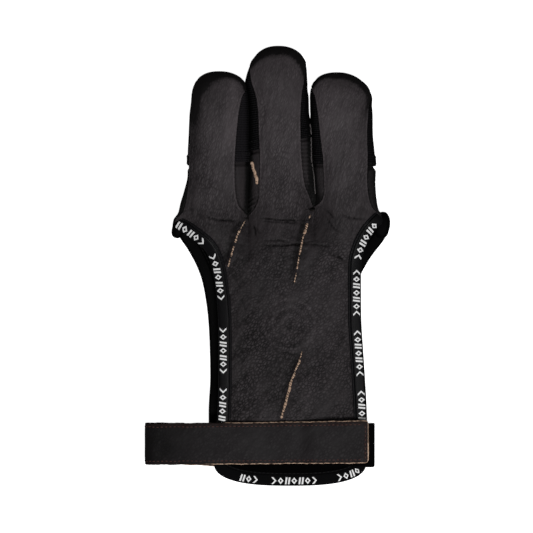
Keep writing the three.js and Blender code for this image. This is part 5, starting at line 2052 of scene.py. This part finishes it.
def strap_relief(lengths, v):
    """Soft waves, curled edges, and folds across the strap where it bends back at the left."""
    curl = -0.12 * (np.abs(v) / (STRAP_WIDTH / 2)) ** 4
    from_fold = lengths - (lengths.max() - STRAP_RUN)
    folds = 0.22 * ripples(from_fold, v * 0.35, 5, 58) * np.exp(-np.clip(from_fold, 0, None) / 14)
    return ripples(lengths, v, 17, 51) * 0.1 + curl + folds


def strap_waver(lengths, v):
    """How far the cut edges wander. The lower one lies a little higher than the band's width says."""
    upper = ripples(lengths, 0 * lengths, 9, 53) + 0.5 * ripples(lengths, 0 * lengths, 2.5, 55)
    lower = ripples(lengths, 0 * lengths, 8, 54) + 0.5 * ripples(lengths, 0 * lengths, 2.2, 59)
    right = smooth((lengths - lengths.max() + 60) / 50)
    return np.where(v > 0, 0.3 * upper + 0.4 * right, 0.3 * lower + 0.6)


def strap_shade(points):
    """Darker towards the fold, which is painted shade where the strap turns back under, and darker along
    the edges.
    """
    x, y, z = points[:, 0], points[:, 1], points[:, 2]
    fold = 1 - smooth((x - strap_fold_x - 1) / 30)
    edge = np.abs(y - strap_y(x, z)) / (STRAP_WIDTH / 2)
    rim = 0.3 * smooth((edge - 0.76) / 0.1)
    base_tone = 0.08 * ripples(x, y, 14, 52) + 0.1 * ripples(x, y * 0.4, 4, 61) * fold
    # Painted shade towards the fold.
    return np.stack([base_tone + 0.1 - 0.5 * fold - rim, np.zeros(len(x)), 1 - 0.4 * fold], axis=-1)


# The pixels where the pale cut edges start: on the back run, and on the upper and the lower edge.
FRESH_FROM = (181, 228, 211)
BORDER_WIDTH = 1.9


def strap_stain(points):
    """How dark the cut edges are, and how brown the sewn border is.

    The edges are dark over the strap's left third, and pale with dark spots beyond."""
    x, y, z = points[:, 0], points[:, 1], points[:, 2]
    behind, above, below = (photo_mm(pixel, 0)[0] for pixel in FRESH_FROM)
    start = np.where(z < FOLD_HEIGHT / 2, behind, np.where(y > strap_y(x, z), above, below))
    fresh = smooth((x - start) / 7 + 0.5 + 0.5 * ripples(x, y, 5, 56))
    spots = smooth(ripples(x, np.sign(y - strap_y(x, z)) * 9, 2.0, 57) * 2.6 + 0.1) * 0.85
    in_front = z > FOLD_HEIGHT / 2
    edge = np.abs(y - strap_y(x, z)) / (STRAP_WIDTH / 2)
    at_end = smooth((x - x[in_front].max() + BORDER_WIDTH + 0.4) / 0.6) * in_front
    at_edge = smooth((edge - 1 + 2 * BORDER_WIDTH / STRAP_WIDTH) / 0.05)
    border = np.maximum(at_edge, at_end) * (0.65 + 0.25 * ripples(x, y, 3, 58))
    return np.stack([1 - fresh * (1 - spots), np.clip(border, 0, 1), 0 * x], axis=-1)


section, section_kinds = band_section(STRAP_WIDTH, STRAP_THICKNESS, 0.38, STRAP_COLUMNS)
strap_points, strap_normals, strap_lengths = band_grid(
    strap_path(), STRAP_WIDTH, strap_y, section, 1.6, strap_relief, strap_waver
)
points, faces = band_mesh(strap_points)
# The last station and both closed ends are cut edge.
kinds = np.full(len(faces), 2)
whole = (len(strap_points) - 2) * len(section)
kinds[:whole] = np.tile(section_kinds, len(strap_points) - 2)
make_object("strap_leather_band", points, faces, kinds, [STRAP_LEATHER, SUEDE, RAW_EDGE],
            "strap", {"shade": strap_shade(points), "stain": strap_stain(points)})

strap_thread = Heap()
upper = strap_points[:, :STRAP_COLUMNS]
for column in STITCH_INSET:
    stitch_row(strap_thread, upper[:-5, column], strap_normals[:-5], STRAP_STITCH)
k = int(np.argmin(np.abs(strap_lengths - strap_lengths[-1] + BORDER_WIDTH)))
across_end = upper[k, STITCH_INSET[0]:STITCH_INSET[1] + 1]
end_normals = np.tile(strap_normals[k], (len(across_end), 1))
stitch_row(strap_thread, across_end, end_normals, STRAP_STITCH)
strap_thread.make("strap_stitches", BROWN_THREAD)


def tab_path():
    half = TAB_THICKNESS / 2
    radius = TAB_BEND - half
    out_x = strap_end_x + TAB_SHOWS - half
    top_z = strap_run_z + half
    bend_x = out_x - radius
    return resampled(np.vstack([
        [[tab_inner_x + CLEARANCE, half]],
        arc(bend_x, half + radius, radius, -math.pi / 2, 0, 16),
        arc(bend_x, top_z - radius, radius, 0, math.pi / 2, 16),
        [[tab_inner_x, top_z]],
    ]), BAND_STEP)


section = band_section(STRAP_WIDTH, TAB_THICKNESS, 0.4, TAB_COLUMNS)[0]
points, faces = band_mesh(band_grid(tab_path(), STRAP_WIDTH, tab_y, section, 1.2)[0])
make_object("closure_tab_tape", points, faces, np.zeros(len(faces)), [LOOP_CLOTH], "closure_tab")

thread.make("black_stitches", BLACK_THREAD)


# The floor, the camera and the lights. Each light has its place and size in metres, and its watts.
FLOOR_HALF = 1.5
FLOOR_DROP = 0.0002
FLOOR_GLOW = 0.95
SENSOR_MM = 36
WORLD_STRENGTH = 0.14
LIGHTS = {
    "overhead": ((0.3, -0.75, 1.6), (0.8, 0.6), 30),
    "left_fill": ((-1.2, 0.1, 0.9), (0.8, 1.2), 3),
    "right_fill": ((1.1, 0.2, 0.8), (0.5, 0.8), 6.5),
}


def floor():
    """White paper that glows by itself, so that nothing on it casts a shadow."""
    mesh = bpy.data.meshes.new("floor")
    half = FLOOR_HALF
    corners = [(-half, -half, 0), (half, -half, 0), (half, half, 0), (-half, half, 0)]
    mesh.from_pydata(corners, [], [(0, 1, 2, 3)])
    made = add_to_scene("floor", mesh)
    made.location.z = -FLOOR_DROP
    paint = Look("floor_paper", (0.9, 0.9, 0.9, 1), 0.9)
    paint.specular(0.0)
    paint.shader.inputs["Emission Color"].default_value = (1, 1, 1, 1)
    paint.shader.inputs["Emission Strength"].default_value = FLOOR_GLOW
    mesh.materials.append(paint.material)
    made.visible_diffuse = False
    made.visible_glossy = False


def camera():
    data = bpy.data.cameras.new("camera")
    data.sensor_width = SENSOR_MM
    data.lens = SENSOR_MM * (CAMERA_HEIGHT - FINGER_HEIGHT / 2) / (PHOTO_PIXELS * MM_PER_PIXEL)
    data.clip_end = 10
    made = add_to_scene("camera", data)
    made.location = (0, -0.5 * MM_PER_PIXEL * MM, CAMERA_HEIGHT * MM)
    bpy.context.scene.camera = made


def area_light(name, place, size, watts):
    """A soft light that faces the origin."""
    data = bpy.data.lights.new(name, "AREA")
    data.shape = "RECTANGLE"
    data.size, data.size_y = size
    data.energy = watts
    made = add_to_scene(name, data)
    made.location = place
    x, y, z = place
    made.rotation_euler = (math.atan2(math.hypot(x, y), z), 0, math.atan2(-x, y))


floor()
camera()
for name, (place, size, watts) in LIGHTS.items():
    area_light(name, place, size, watts)

world = bpy.data.worlds.new("studio")
world.use_nodes = True
world.node_tree.nodes["Background"].inputs["Color"].default_value = (1, 1, 1, 1)
world.node_tree.nodes["Background"].inputs["Strength"].default_value = WORLD_STRENGTH
bpy.context.scene.world = world
bpy.context.scene.view_settings.view_transform = "Standard"
